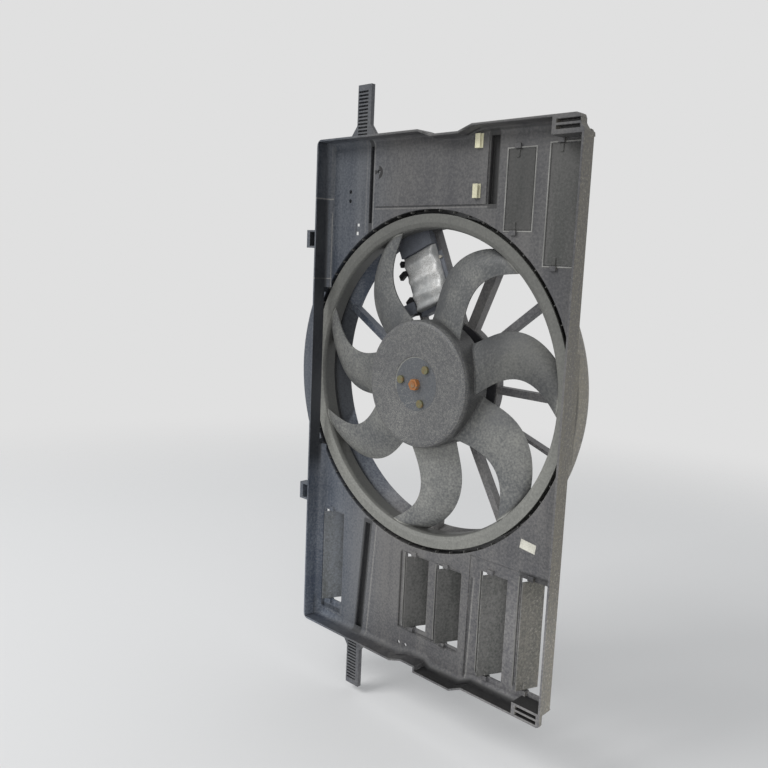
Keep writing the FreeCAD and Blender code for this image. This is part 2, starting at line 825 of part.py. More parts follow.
# Vent flaps: a vane on two pegs, a third of its width ahead of the pivot

def make_flap(name, vent):
    pivot = vent_pivot(vent)
    low, high = f"{vent}Foot + flapEndGap", f"{vent}Head - flapEndGap"
    face = ("pivotDeep - flapThick / 2", "pivotDeep + flapThick / 2")
    vane = block(name + "_vane", (f"{vent}At + flapGap", f"{vent}At + ventWide - flapGap"),
                 face, (low, high))
    pieces = [vane]
    for end, way in ((low, 1), (high, -1)):
        tip = f"{end} - {way} * (pegLength + flapEndGap - endPlay)"
        inner = f"{end} + {way} * knuckleLength"
        span = (tip, inner) if way == 1 else (inner, tip)
        pieces.append(post(name + "_peg", "pegRadius", pivot, "pivotDeep", span))
        root = (end, inner) if way == 1 else (inner, end)
        pieces.append(block(name + "_knuckle", (f"{pivot} - knuckleWide / 2", f"{pivot} + knuckleWide / 2"),
                            ("pivotDeep - knuckleWide / 2", "pivotDeep + knuckleWide / 2"), root))
    flap = join(name, pieces)
    flap.Placement = FreeCAD.Placement(
        FreeCAD.Vector(), FreeCAD.Rotation(FreeCAD.Vector(0, 0, 1), value(f"{vent}Open")),
        FreeCAD.Vector(value(pivot), value("pivotDeep"), 0))
    return flap


# The fan: hub, unevenly spaced sickle blades and the ring that joins their tips

blade_angles = [-2, -49, -102, -160, -204, -253, -311]

# from hub to ring: radius, then angle and depth of the leading and of the trailing edge
blade_stations = [
    ("hubRadius - bladeBite", -1, 4, 44.5, 20.5),
    ("hubRadius + 25", 9, 7, 39.8, 22),
    ("(hubRadius + ringRadius) / 2", 11.6, 9, 34.9, 22.8),
    ("ringRadius - 27", 7, 9.5, 26, 22.3),
    ("ringRadius + bladeBite", -1.5, 7.5, 9.5, 20.8),
]


def blade_point(radius, angle, depth):
    turn = math.radians(angle)
    return FreeCAD.Vector(radius * math.cos(turn), value("rimDepth") + depth, radius * math.sin(turn))


def make_blade(angle):
    """A cambered sheet through the stations, thickened towards the radiator."""
    rows = []
    for radius_text, lead, lead_depth, trail, trail_depth in blade_stations:
        radius = value(radius_text)
        row = []
        for share in (0, 0.25, 0.5, 0.75, 1):
            bow = value("bladeCamber") * 4 * share * (1 - share)
            row.append(blade_point(radius, angle + lead + (trail - lead) * share,
                                   lead_depth + (trail_depth - lead_depth) * share - bow))
        rows.append(row)
    surface = Part.BSplineSurface()
    surface.interpolate(rows)
    sheet_face = surface.toShape()
    blade = sheet_face.makeOffsetShape(value("bladeThick"), 0.01, fill=True)
    made = doc.addObject("Part::Feature", "blade")
    made.Shape = blade if blade.Volume > 0 else blade.reversed()
    return made


def make_fan():
    inner, back = "hubRadius - hubSkin", "rimDepth + hubBack"
    hub = turned("hub_form", [
        ("shaftRadius + screwFit", "recessFloor"), ("recessRadius", "recessFloor"),
        ("recessRadius + hubRecess", "hubFace"), ("hubRadius - hubBend", "hubFace"),
        ("hubRadius - 0.3 * hubBend", "hubFace + 0.3 * hubBend"), ("hubRadius", "hubFace + hubBend"),
        ("hubRadius", back), (inner, back), (inner, "hubFace + hubBend"),
        (f"{inner} - hubBend + hubSkin", "hubFace + hubSkin"),
        ("recessRadius + 2 * hubRecess", "hubFace + hubSkin"),
        ("recessRadius + hubRecess", "recessBack"), ("shaftRadius + screwFit", "recessBack")])
    front, outer = "rimDepth + lipBack", "ringRadius + ringThick"
    back = "rimDepth + ringBack"
    ring = turned("ring_form", [
        ("ringRadius", f"{front} + ringBend"), ("ringRadius + 0.3 * ringBend", f"{front} + 0.3 * ringBend"),
        ("ringRadius + ringBend", front), ("lipRadius", front), ("lipRadius", f"{front} + ringThick"),
        ("ringRadius + ringBend + ringThick / 2", f"{front} + ringThick"),
        (outer, f"{front} + ringBend + ringThick / 2"), (outer, f"{back} - ringThick"),
        (f"{outer} + rearLip", f"{back} - ringThick"), (f"{outer} + rearLip", back), ("ringRadius", back)])
    blades = [make_blade(angle) for angle in blade_angles]
    whole = join("fan_whole", [hub, ring] + blades)
    drills = [fan_screw_rod("hub_hole", i, "screwRadius + screwFit", ("hubFace", "recessBack"))
              for i in range(3)]
    return cut("fan_rotor", whole, group("hub_holes", drills))


def fan_screw_rod(name, index, radius, depth):
    angle = math.radians(value("fanScrewTurn") + index * 120)
    return rod(name, radius, depth, f"fanScrewCircle * {math.cos(angle)}",
               f"fanScrewCircle * {math.sin(angle)}")


def make_driver():
    """The steel disc on the shaft that the hub is screwed to."""
    bore = "shaftRadius + bearingFit / 2"
    disc = turned("driver_form", [
        (bore, "recessBack"), ("recessRadius", "recessBack"), ("recessRadius", "driverBack"),
        ("driverBoss", "driverBack"), ("driverBoss", "driverBack + driverBossLong"),
        (bore, "driverBack + driverBossLong")])
    drills = [fan_screw_rod("driver_hole", i, "screwRadius + bearingFit / 2", ("recessBack", "driverBack"))
              for i in range(3)]
    return cut("fan_driver", disc, group("driver_holes", drills))


def make_screws(name, placed, shoulder, back):
    """Three pan-head screws: placed puts a rod at screw number i."""
    screws = []
    for i in range(3):
        head = placed("head", i, "screwHeadRadius", (f"{shoulder} - screwHeadTall", shoulder))
        shank = placed("shank", i, "screwRadius", (shoulder, back))
        screws.append(join("screw", [head, shank]))
    return group(name, screws)


def make_nut():
    hexagon = new_body("nut_form")
    drawing = front_sketch(hexagon, "recessFloor - nutTall")
    corner = "nutFlats / sqrt(3)"
    draw_outline(drawing, [(f"{corner} * {round(math.cos(math.radians(60 * i)), 6)}",
                            f"{corner} * {round(math.sin(math.radians(60 * i)), 6)}") for i in range(6)])
    feature(hexagon, "Pad", drawing, Length="nutTall")
    bore = rod("nut_bore", "shaftRadius + bearingFit / 2", ("recessFloor - nutTall", "recessFloor"))
    return cut("shaft_nut", hexagon, bore)


# The motor, which stands in the hub's hollow

def make_can():
    seat, skin = "bearingRadius", "canSkin"
    body = turned("motor_can", [
        (seat, "canFace"), ("canRadius", "canFace"), ("canRadius", f"mountFront - {skin}"),
        ("flangeRadius", f"mountFront - {skin}"), ("flangeRadius", "mountFront"),
        (f"canRadius - {skin}", "mountFront"), (f"canRadius - {skin}", f"canFace + {skin}"),
        (f"{seat} + {skin}", f"canFace + {skin}"), (f"{seat} + {skin}", "canFace + bearingLong"),
        (seat, "canFace + bearingLong")])
    places = []
    for i in range(3):
        angle = math.radians(90 + 120 * i)
        places.append((f"motorScrewCircle * {math.cos(angle)}", f"motorScrewCircle * {math.sin(angle)}"))
    places[0] = ("0", places[0][1])
    holes(body, places, "screwRadius + screwFit", (f"mountFront - {skin}", "mountFront"))
    return body


def make_cap():
    skin, rim = "capSkin", "canRadius + skin / 5"
    return turned("motor_end_cap", [
        ("0", "capBack"), ("0", f"capBack - {skin}"), ("bearingRadius", f"capBack - {skin}"),
        ("bearingRadius", "rearBearing"), (f"bearingRadius + {skin}", "rearBearing"),
        (f"bearingRadius + {skin}", f"capBack - {skin}"),
        (f"{rim} - capTaper - {skin}", f"capBack - {skin}"),
        (f"canRadius - 2 * {skin}", f"brushPlateFront + brushPlateThick + {skin}"),
        (f"canRadius - 2 * {skin}", "brushPlateFront + brushPlateThick"),
        (f"canRadius - {skin}", "brushPlateFront + brushPlateThick"),
        (f"canRadius - {skin}", "mountFront"), (rim, "mountFront"),
        (rim, "brushPlateFront + 2 * capSkin"), (f"{rim} - capTaper", "capBack")])


def bearing(name, front):
    return turned(name, [
        ("shaftRadius + bearingFit", front), ("bearingRadius", front),
        ("bearingRadius", f"{front} + bearingLong"),
        ("shaftRadius + bearingFit", f"{front} + bearingLong")])


def make_magnets():
    outer = "canRadius - canSkin"
    arcs = []
    for i in range(4):
        whole = doc.addObject("Part::Cylinder", "magnet_blank")
        bore = doc.addObject("Part::Cylinder", "magnet_bore")
        for bar, radius in ((whole, outer), (bore, f"{outer} - magnetThick")):
            bar.Placement.Rotation = FreeCAD.Rotation(FreeCAD.Vector(1, 0, 0), -90)
            bind(bar, Radius=radius, Height="coreLong + 4", Placement__Base__y="coreStart - 2")
        bind(whole, Angle="magnetSpan")
        arcs.append(around_axis(cut("magnet", whole, bore), f"{i * 90} + 45"))
    return group("motor_magnets", arcs)


def make_core():
    core = turned("core_form", [
        ("shaftRadius + bearingFit / 2", "coreStart"), ("coreRadius", "coreStart"),
        ("coreRadius", "coreEnd"), ("shaftRadius + bearingFit / 2", "coreEnd")])
    drawing = front_sketch(core, "coreStart")
    draw_rectangle(drawing, ("coreRadius - 12", "coreRadius + 1"), ("-1.5", "1.5"))
    slot = feature(core, "Pocket", drawing, Length="coreLong")
    pattern = core.newObject("PartDesign::PolarPattern", "slots")
    pattern.Originals = [slot]
    pattern.Axis = (next(f for f in core.Origin.OriginFeatures if f.Role == "Y_Axis"), [""])
    pattern.Angle = 360
    bind(pattern, Occurrences="coreSlots")
    core.Tip = pattern
    core.Label = "armature_core"
    return core


def make_windings():
    heads = []
    for name, front, back in (("front_head", "coreStart - coilTall", "coreStart"),
                              ("rear_head", "coreEnd", "coreEnd + coilTall")):
        head = rod(name, "coilRadius", (front, back))
        eye = rod(name + "_eye", "bearingRadius + 2 * canSkin", (front, back))
        heads.append(cut(name + "_ring", head, eye))
    return group("armature_windings", heads)


def make_commutator():
    start = "rearBearing - endPlay - commutatorLong"
    return turned("commutator", [
        ("shaftRadius + bearingFit / 2", start), ("commutatorRadius", start),
        ("commutatorRadius", f"{start} + commutatorLong"),
        ("shaftRadius + bearingFit / 2", f"{start} + commutatorLong")])


brush_front = "brushPlateFront - brushWide"


def make_brushes():
    near = "commutatorRadius + bearingFit"
    pair = []
    for side in (-1, 1):
        low, high = (near, f"{near} + brushLong") if side == 1 else (f"-({near} + brushLong)", f"-({near})")
        pair.append(block("brush", (low, high), (brush_front, "brushPlateFront"),
                          ("-brushWide / 2", "brushWide / 2")))
    return group("brushes", pair)


def make_brush_springs():
    """Leaf springs that stand on the plate and press on the brushes' outer ends."""
    near = "commutatorRadius + bearingFit + brushLong"
    leaves = []
    for side in (-1, 1):
        low, high = (near, f"{near} + springThin") if side == 1 else (f"-({near} + springThin)", f"-({near})")
        leaf = block("leaf", (low, high), (brush_front, "brushPlateFront - springThin"),
                     ("-brushWide / 2", "brushWide / 2"))
        far = (near, f"{near} + brushWide") if side == 1 else (f"-({near} + brushWide)", f"-({near})")
        foot = block("leaf_foot", far, ("brushPlateFront - springThin", "brushPlateFront"),
                     ("-brushWide / 2", "brushWide / 2"))
        leaves.append(join("brush_spring", [leaf, foot]))
    return group("brush_springs", leaves)


def make_brush_plate():
    return turned("brush_plate", [
        ("commutatorRadius + 2 * endPlay", "brushPlateFront"),
        ("canRadius - capSkin - runningFit", "brushPlateFront"),
        ("canRadius - capSkin - runningFit", "brushPlateFront + brushPlateThick"),
        ("commutatorRadius + 2 * endPlay", "brushPlateFront + brushPlateThick")])


def make_shaft():
    blank = rod("shaft_blank", "shaftRadius", ("recessFloor - nutTall - shaftTip", "capBack - capSkin - endPlay"))
    tip = doc.addObject("Part::Chamfer", "motor_shaft")
    tip.Base = blank
    doc.recompute()
    front = [i for i, edge in enumerate(blank.Shape.Edges, 1)
             if isinstance(edge.Curve, Part.Circle)
             and edge.Curve.Center.y < value("recessFloor")]
    tip.Edges = [(i, value("shaftTip") / 2, value("shaftTip") / 2) for i in front]
    return tip


# The control module

def make_module():
    pitch = "(sinkTop - sinkFoot) / lobeCount"
    ridge = []
    for i in range(int(value("lobeCount"))):
        bar = doc.addObject("Part::Cylinder", "lobe")
        bar.Placement.Rotation = FreeCAD.Rotation(FreeCAD.Vector(0, 1, 0), 90)
        bind(bar, Radius="lobeTall", Height="moduleWide", Placement__Base__x="moduleLeft",
             Placement__Base__y="sinkFace", Placement__Base__z=f"sinkFoot + {pitch} * {i + 0.5}")
        ridge.append(bar)
    plate = block("sink_plate", ("moduleLeft", "moduleRight"), ("sinkFace", "moduleFace"),
                  ("sinkFoot", "sinkTop"))
    keep = block("sink_keep", ("moduleLeft", "moduleRight"), ("sinkFace - lobeTall", "moduleFace"),
                 ("sinkFoot", "sinkTop"))
    sink = doc.addObject("Part::MultiCommon", "module_heatsink")
    sink.Shapes = [join("sink_blank", [plate] + ridge), keep]

    left, right = "moduleLeft", "moduleRight"
    base = block("housing_base", (left, right), ("moduleFace", "mountBack"), ("moduleFoot", "moduleTop"))
    hood = block("housing_hood", (left, right), ("sinkFace - lobeTall / 2", "moduleFace"),
                 ("sinkTop", "moduleTop + hoodRise"))
    ears = block("housing_ears", (f"{left} - moduleBarThick", f"{right} + moduleBarThick"),
                 ("moduleFace", "mountFront"), ("sinkFoot + 12", "sinkTop - 12"))
    mouth = f"{left} - moduleBarThick - socketLong"
    shell = block("socket_shell", (mouth, left), ("mountFront - socketDeep", "mountFront"),
                  ("sinkFoot", "sinkFoot + socketTall"))
    hollow = block("socket_hollow", (mouth, f"{left} - moduleBarThick - socketSkin"),
                   ("mountFront - socketDeep + socketSkin", "mountFront - socketSkin"),
                   ("sinkFoot + socketSkin", "sinkFoot + socketTall - socketSkin"))
    housing = join("module_housing", [base, hood, ears, cut("socket", shell, hollow)])
    screws = []
    for side in (f"{left} - moduleBarThick / 2", f"{right} + moduleBarThick / 2"):
        for height in ("sinkFoot + 20", "sinkTop - 20"):
            screws.append(rod("module_screw", "screwRadius - skin / 5",
                              ("moduleFace - screwHeadTall", "moduleFace"), side, height))
    fixings = group("module_screws", screws)
    placed = {"module_heatsink": sink, "module_housing": housing, "module_screws": fixings}
    for piece in placed.values():
        around_axis(piece, "moduleTilt")
    return placed


# Small trim on the radiator side

def make_clip(name, foot):
    """A bent spring-steel clip: a foot on the raised field and a lifted tongue."""
    body = new_body(name)
    drawing = new_sketch(body, "XY_Plane", f"{foot} + clipTall")
    face = "rimDepth - fieldRaise"
    draw_outline(drawing, [
        ("clipAt", face), ("clipAt + clipWide", face), ("clipAt + clipWide", f"{face} - clipThin"),
        ("clipAt + clipThin", f"{face} - clipThin"), ("clipAt + clipThin", f"{face} - clipRise + clipThin"),
        ("clipAt + clipWide - 2", f"{face} - clipRise + clipThin"),
        ("clipAt + clipWide - 2", f"{face} - clipRise"), ("clipAt", f"{face} - clipRise")])
    feature(body, "Pad", drawing, Length="clipTall")
    return body


def make_label():
    label = block("blank_label", ("labelAt", "labelAt + labelWide"), ("rimDepth - labelThin", "rimDepth"),
                  ("labelFoot", "labelFoot + labelTall"))
    label.Placement.Rotation = FreeCAD.Rotation(FreeCAD.Vector(0, 1, 0), value("labelTilt"))
    return label


nodes = {"shroud_panel": make_panel(), "fan_carrier": make_carrier()}
for flap_name, vent_name in vents.items():
    nodes[flap_name] = make_flap(flap_name, vent_name)
nodes["fan_rotor"] = make_fan()
nodes["fan_driver"] = make_driver()
nodes["fan_screws"] = make_screws("fan_screws", fan_screw_rod, "recessFloor", "driverBack")
nodes["shaft_nut"] = make_nut()
nodes["motor_shaft"] = make_shaft()
nodes["armature_core"] = make_core()
nodes["armature_windings"] = make_windings()
nodes["commutator"] = make_commutator()
nodes["motor_can"] = make_can()
nodes["motor_end_cap"] = make_cap()
nodes["motor_magnets"] = make_magnets()
nodes["front_bearing"] = bearing("front_bearing", "canFace")
nodes["rear_bearing"] = bearing("rear_bearing", "rearBearing")
nodes["brush_plate"] = make_brush_plate()
nodes["brushes"] = make_brushes()
nodes["brush_springs"] = make_brush_springs()
nodes["motor_screws"] = make_screws("motor_screws", motor_screw_rod, "mountFront - canSkin", "mountBack")
nodes.update(make_module())
nodes["spring_clip_upper"] = make_clip("spring_clip_upper", "upperClipFoot")
nodes["spring_clip_lower"] = make_clip("spring_clip_lower", "lowerClipFoot")
nodes["blank_label"] = make_label()

doc.recompute()
for thing in doc.Objects:
    if {"Invalid", "Error"} & set(thing.State):
        raise ValueError(f"{thing.Label} could not be built: {thing.State}")
os.makedirs("parts", exist_ok=True)
for name, node in nodes.items():
    node.Label = name
    shape = node.Shape
    if shape.isNull() or not shape.isValid():
        raise ValueError(f"{name} has no valid shape")
    shape.exportStep(f"parts/{name}.step")
    print(name, len(shape.Solids), "solids", round(shape.Volume), "mm3")
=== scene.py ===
import math

import bpy
import numpy as np
from mathutils import Matrix, Vector


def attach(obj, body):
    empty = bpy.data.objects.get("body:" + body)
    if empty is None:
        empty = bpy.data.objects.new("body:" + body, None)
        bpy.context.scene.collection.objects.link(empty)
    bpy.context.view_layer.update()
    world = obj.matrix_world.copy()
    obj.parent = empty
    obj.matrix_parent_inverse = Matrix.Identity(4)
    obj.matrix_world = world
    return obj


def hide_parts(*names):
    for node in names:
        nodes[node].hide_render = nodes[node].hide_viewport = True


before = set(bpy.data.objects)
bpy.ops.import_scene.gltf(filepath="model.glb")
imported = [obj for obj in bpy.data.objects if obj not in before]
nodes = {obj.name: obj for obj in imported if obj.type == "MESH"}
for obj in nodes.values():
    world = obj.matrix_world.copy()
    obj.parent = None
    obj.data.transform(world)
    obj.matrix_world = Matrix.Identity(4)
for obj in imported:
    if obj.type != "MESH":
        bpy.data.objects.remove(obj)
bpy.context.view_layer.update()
print("frame loaded:", len(nodes), "nodes")

# outlines and boxes are in mm, and the scene is in metres
millimetre = 0.001


# shader maths: a wire is one output socket, and an expression on wires adds Math nodes

class Wire:
    def __init__(self, graph, socket):
        self.graph = graph
        self.socket = socket

    def __add__(self, other):
        return self.graph.sums("ADD", self, other)

    def __sub__(self, other):
        return self.graph.sums("SUBTRACT", self, other)

    def __rsub__(self, other):
        return self.graph.sums("SUBTRACT", other, self)

    def __mul__(self, other):
        return self.graph.sums("MULTIPLY", self, other)

    def __truediv__(self, other):
        return self.graph.sums("DIVIDE", self, other)

    def __pow__(self, other):
        return self.graph.sums("POWER", self, other)

    __radd__ = __add__
    __rmul__ = __mul__


class Graph:
    def __init__(self, owner):
        owner.use_nodes = True
        self.owner = owner
        self.tree = owner.node_tree
        self.tree.nodes.clear()
        self.place = None

    def node(self, kind, settings=None, sockets=None, out=0):
        made = self.tree.nodes.new(kind)
        for name, value in (settings or {}).items():
            setattr(made, name, value)
        for key, value in (sockets or {}).items():
            if isinstance(value, Wire):
                self.tree.links.new(value.socket, made.inputs[key])
            else:
                made.inputs[key].default_value = value
        return Wire(self, made.outputs[out]) if len(made.outputs) else made

    def sums(self, operation, first, second):
        return self.node("ShaderNodeMath", {"operation": operation}, {0: first, 1: second})

    def position(self):
        if self.place is None:
            self.place = self.node("ShaderNodeTexCoord", out="Object")
        return self.place

    def noise(self, scale, detail=3, stretch=None, rough=0.55):
        place = self.position()
        if stretch:
            place = self.node("ShaderNodeMapping", sockets={"Vector": place, "Scale": stretch})
        return self.node("ShaderNodeTexNoise", sockets={
            "Vector": place, "Scale": scale, "Detail": detail, "Roughness": rough})

    def step(self, value, low, high):
        return self.node("ShaderNodeMapRange", {"interpolation_type": "SMOOTHSTEP"},
                         {"Value": value, "From Min": low, "From Max": high})

    def band(self, value, low, high, soft):
        # 1 between the two values, 0 outside them
        return self.step(value, low - soft, low + soft) * (1 - self.step(value, high - soft, high + soft))

    def patch(self, x, z, box, soft, lean=0.0):
        # 1 inside the upright box of the panel's plane, whose sides lean by so much per metre of height
        left, right, low, high = (edge * millimetre for edge in box)
        shifted = x - (z - low) * lean if lean else x
        return self.band(shifted, left, right, soft) * self.band(z, low, high, soft)

    def disc(self, x, z, centre, inner, outer, soft):
        # 1 between two circles of the panel's plane
        across, up = x - centre[0] * millimetre, z - centre[1] * millimetre
        return self.band((across * across + up * up) ** 0.5, inner * millimetre, outer * millimetre, soft)

    def mix(self, factor, first, second):
        first, second = (c if isinstance(c, Wire) else (*c, 1) for c in (first, second))
        return self.node("ShaderNodeMix", {"data_type": "RGBA", "clamp_factor": True},
                         {0: factor, 6: first, 7: second}, out=2)

    def scaled(self, colour, amount):
        return self.node("ShaderNodeVectorMath", {"operation": "SCALE"}, {0: colour, "Scale": amount})

    def axis(self, name, source=None):
        return self.node("ShaderNodeSeparateXYZ", sockets={"Vector": source or self.position()}, out=name)

    def normal(self):
        return self.node("ShaderNodeNewGeometry", out="Normal")

    def rounded(self, radius):
        # the normal that the face would have with its edges rounded
        return self.node("ShaderNodeBevel", {"samples": 4}, {"Radius": radius})

    def edges(self, radius):
        # 1 where a rounded edge of that radius would turn away from the face, 0 on flat ground
        dot = self.node("ShaderNodeVectorMath", {"operation": "DOT_PRODUCT"},
                        {0: self.rounded(radius), 1: self.normal()}, out="Value")
        return 1 - self.step(dot, 0.75, 0.985)

    def finish(self, colour, roughness, height, bump=0.3, depth=0.0004, metallic=0.0, soften=0.0):
        relief = {"Height": height, "Strength": bump, "Distance": depth}
        if soften:
            relief["Normal"] = self.rounded(soften)
        shader = self.node("ShaderNodeBsdfPrincipled", sockets={
            "Base Color": colour, "Roughness": roughness, "Metallic": metallic,
            "Normal": self.node("ShaderNodeBump", sockets=relief)})
        self.node("ShaderNodeOutputMaterial", sockets={"Surface": shader})
        return self.owner


def newMaterial(name):
    return Graph(bpy.data.materials.new(name))


# a face counts as turned a way between these shares of its normal's length
turned = {"fully": (0.5, 0.9), "mostly": (0.3, 0.8), "inward": (0.3, 0.7), "partly": (0.2, 0.7)}

# the moulding's plastic: dark grey with road dust in clouds, streaks and specks, painted cool shade
# at the left, brown on the right-hand wall, painted shade in the grooves, pale lines that are partly
# wear and partly painted highlight, and painted light through two slits. Boxes are left, right,
# low, high in mm, then how strongly they darken or pale, then how far their sides lean.
mouldingLook = {
    "clean": (0.068, 0.068, 0.074), "cool": (0.042, 0.053, 0.074), "dust": (0.168, 0.163, 0.158),
    "coolDust": (0.135, 0.150, 0.175), "white": (0.80, 0.80, 0.78),
    "brown": (0.150, 0.138, 0.110), "edge": (0.36, 0.35, 0.33),
    "cloudScale": 7, "grainScale": 330, "speckScale": 1300, "streakScale": 45,
    "dustFrom": (0.68, 1.1), "dustMix": 0.8, "edgeWearAndHighlightRadius": 0.0012, "edgeWearAndHighlightMix": 0.5, "speckMix": 0.25,
    "roughness": 0.46, "dustRoughness": 0.25, "relief": 0.4, "edgeRadius": 0.0011,
    # dark boxes: painted shade in the channels and grooves, along recess edges and under the top wall
    "dark": [
        ((-109, -102.5, 180, 304), 0.70, 0), ((84, 98, 214, 304), 0.62, 0),
        ((-107, -91, -366, -198), 0.60, 0.0745),
        ((-24.5, -21, -329, -226), 0.55, 0), ((-24.5, 76, -331, -328), 0.55, 0),
        ((-177.5, -172, -352, -214), 0.60, 0), ((-176, -138, -353, -346), 0.50, 0),
        ((88, 91.5, -357, -226), 0.45, 0.03), ((162, 204, -204, -196), 0.50, 0),
        ((0, 172, 300, 304), 0.60, 0),
    ],
    # pale boxes: parting lines and worn ridges, and painted highlight along channel edges and on the left
    # wall's rounded corner
    "pale": [
        ((-102, -100.4, 190, 303), 0.40, 0), ((-98, 88, 215.4, 217.2), 0.30, 0),
        ((-190, -178, 229.4, 231), 0.80, 0), ((-190, -178, 122.4, 123.6), 0.70, 0),
        ((-182.5, -176, 104, 300), 0.12, 0), ((-180, -178.6, 104, 212), 0.55, 0),
        ((-84, -81.5, -366, -200), 0.30, 0.0745), ((92, 94, -357, -226), 0.25, 0.03),
        ((-116, -113.5, 186, 302), 0.16, 0),
    ],
    "slits": [(-129, -125.5, 194, 197.4), (-130.5, -127, 182.6, 186.8)],
    "pit": {"centre": (-97, 262.5), "radius": 2.6},
    "crescent": {"centre": (-92.5, 262), "inner": 3.6, "outer": 8.4},
    "groove": {"box": (-133, -130.8, 184, 198), "share": 0.5},
}

# where each shade starts and where it is full, in metres: x and z from the fan's axis, depth from
# the rim, and the rest as distances from the axis
mouldingZones = {
    "leftSide": (-0.16, -0.04), "rightWall": (0.15, 0.20), "height": (-0.25, 0.32),
    "lowRows": (0.17, 0.26), "lowRight": (0.07, 0.16), "lowLeft": (0.13, 0.17),
    "carrierDepth": (0.066, 0.070), "bulge": (0.19, 0.20), "bulgeDepth": (0.028, 0.034),
    "leftWall": (-0.1848, -0.1825), "leftWallFoot": (-0.16, -0.12), "leftWallMiddle": (-0.15, 0.229),
    "floorWall": (0.334, 0.340), "floorRight": (0.0, 0.05),
    "tunnelStart": (0.196, 0.200), "tunnelEnd": (0.2165, 0.2172), "tunnelDepth": (0.0262, 0.066),
    "sunkStart": (0.2168, 0.2176), "sunkDepth": (0.0262, 0.0312), "crescentRight": (-0.0925, -0.09),
    "vaneLow": (0.15, 0.20), "vaneLowRight": (0.08, 0.11), "vaneLowLeft": (-0.05, -0.03),
    "vaneHigh": (0.15, 0.18), "vaneHighRight": (0.15, 0.16),
}
mouldingShades = {
    "top": 0.34, "lowRight": 0.42, "lowLeft": 0.50, "carrier": 0.60, "rightWall": 0.15, "bulge": 0.40,
    "leftWall": 0.40, "leftWallMiddle": 0.35, "floorWall": 0.45, "floorRight": 0.45, "tunnel": 0.60,
    "sunk": 0.55, "pit": 0.90, "vane": 0.25, "vaneHigh": 1.2, "grain": (0.80, 0.40),
}
# half the width in metres over which each mark fades at its edge
softEdge = {"line": 0.0003, "channel": 0.0004, "slit": 0.0005, "tunnel": 0.0008, "groove": 0.0012,
            "wall": 0.002}


def mouldingPlastic(name, look, dustier=0.0, lit=1.0):
    g = newMaterial(name)
    zone = mouldingZones
    x, z = g.axis("X"), g.axis("Z")
    turn = g.normal()
    ahead, side = g.axis("Y", turn) * -1, g.axis("X", turn)
    front = g.step(ahead + side * 0.8, *turned["fully"])
    cloud = g.noise(look["cloudScale"], 4)
    grain = g.noise(look["grainScale"], 3)
    speck = g.noise(look["speckScale"], 2)
    streak = g.noise(look["streakScale"], 3, stretch=(1, 1, 0.1))
    low, high = look["dustFrom"]
    dust = g.step(cloud * 0.7 + streak * 0.5 + grain * 0.6, low - dustier, high - dustier)
    # painted cool shade: the ground and the dust turn darker and bluer towards the left
    leftSide = 1 - g.step(x, *zone["leftSide"])
    ground = g.mix(leftSide, look["clean"], look["cool"])
    dusty = g.mix(leftSide * 0.8, look["dust"], look["coolDust"])
    colour = g.mix(dust * look["dustMix"], ground, dusty)

    # the right wall's outside and its bevel are brown and speckled
    rightWall = g.step(side, *turned["partly"]) * g.step(x, *zone["rightWall"])
    wallDust = g.step(streak * 0.5 + grain * 0.9, 0.5, 0.85)
    colour = g.mix(rightWall * (0.35 + wallDust * 0.6), colour, look["brown"])
    fleck = rightWall * g.step(speck * 0.7 + grain * 0.5, 0.66, 0.78)
    colour = g.mix(fleck * 0.6, colour, look["edge"])

    # worn edges with painted highlight along them, dust specks, and pale lines, partly wear and partly
    # painted highlight
    rubbedAndHighlit = g.edges(look["edgeWearAndHighlightRadius"]) * g.step(cloud + grain * 0.5, 0.6, 0.9)
    colour = g.mix(rubbedAndHighlit * look["edgeWearAndHighlightMix"], colour, look["edge"])
    colour = g.mix(g.step(speck, 0.60, 0.72) * look["speckMix"], colour, look["edge"])
    for box, strength, lean in look["pale"]:
        wornAndHighlight = g.patch(x, z, box, softEdge["line"], lean) * front
        colour = g.mix(wornAndHighlight * (strength * (0.6 + grain * 0.8)), colour, look["edge"])
    # painted light: the slits are painted white where light shows through them
    for box in look["slits"]:
        colour = g.mix(g.patch(x, z, box, softEdge["slit"]) * front, colour, look["white"])

    base, swing = mouldingShades["grain"]
    shade = mouldingShade(g, look, front, rightWall) * (base + grain * swing) * lit
    return g.finish(g.scaled(colour, shade), look["roughness"] + dust * look["dustRoughness"],
                    grain * 0.6 + speck * 0.35, bump=look["relief"], soften=look["edgeRadius"])


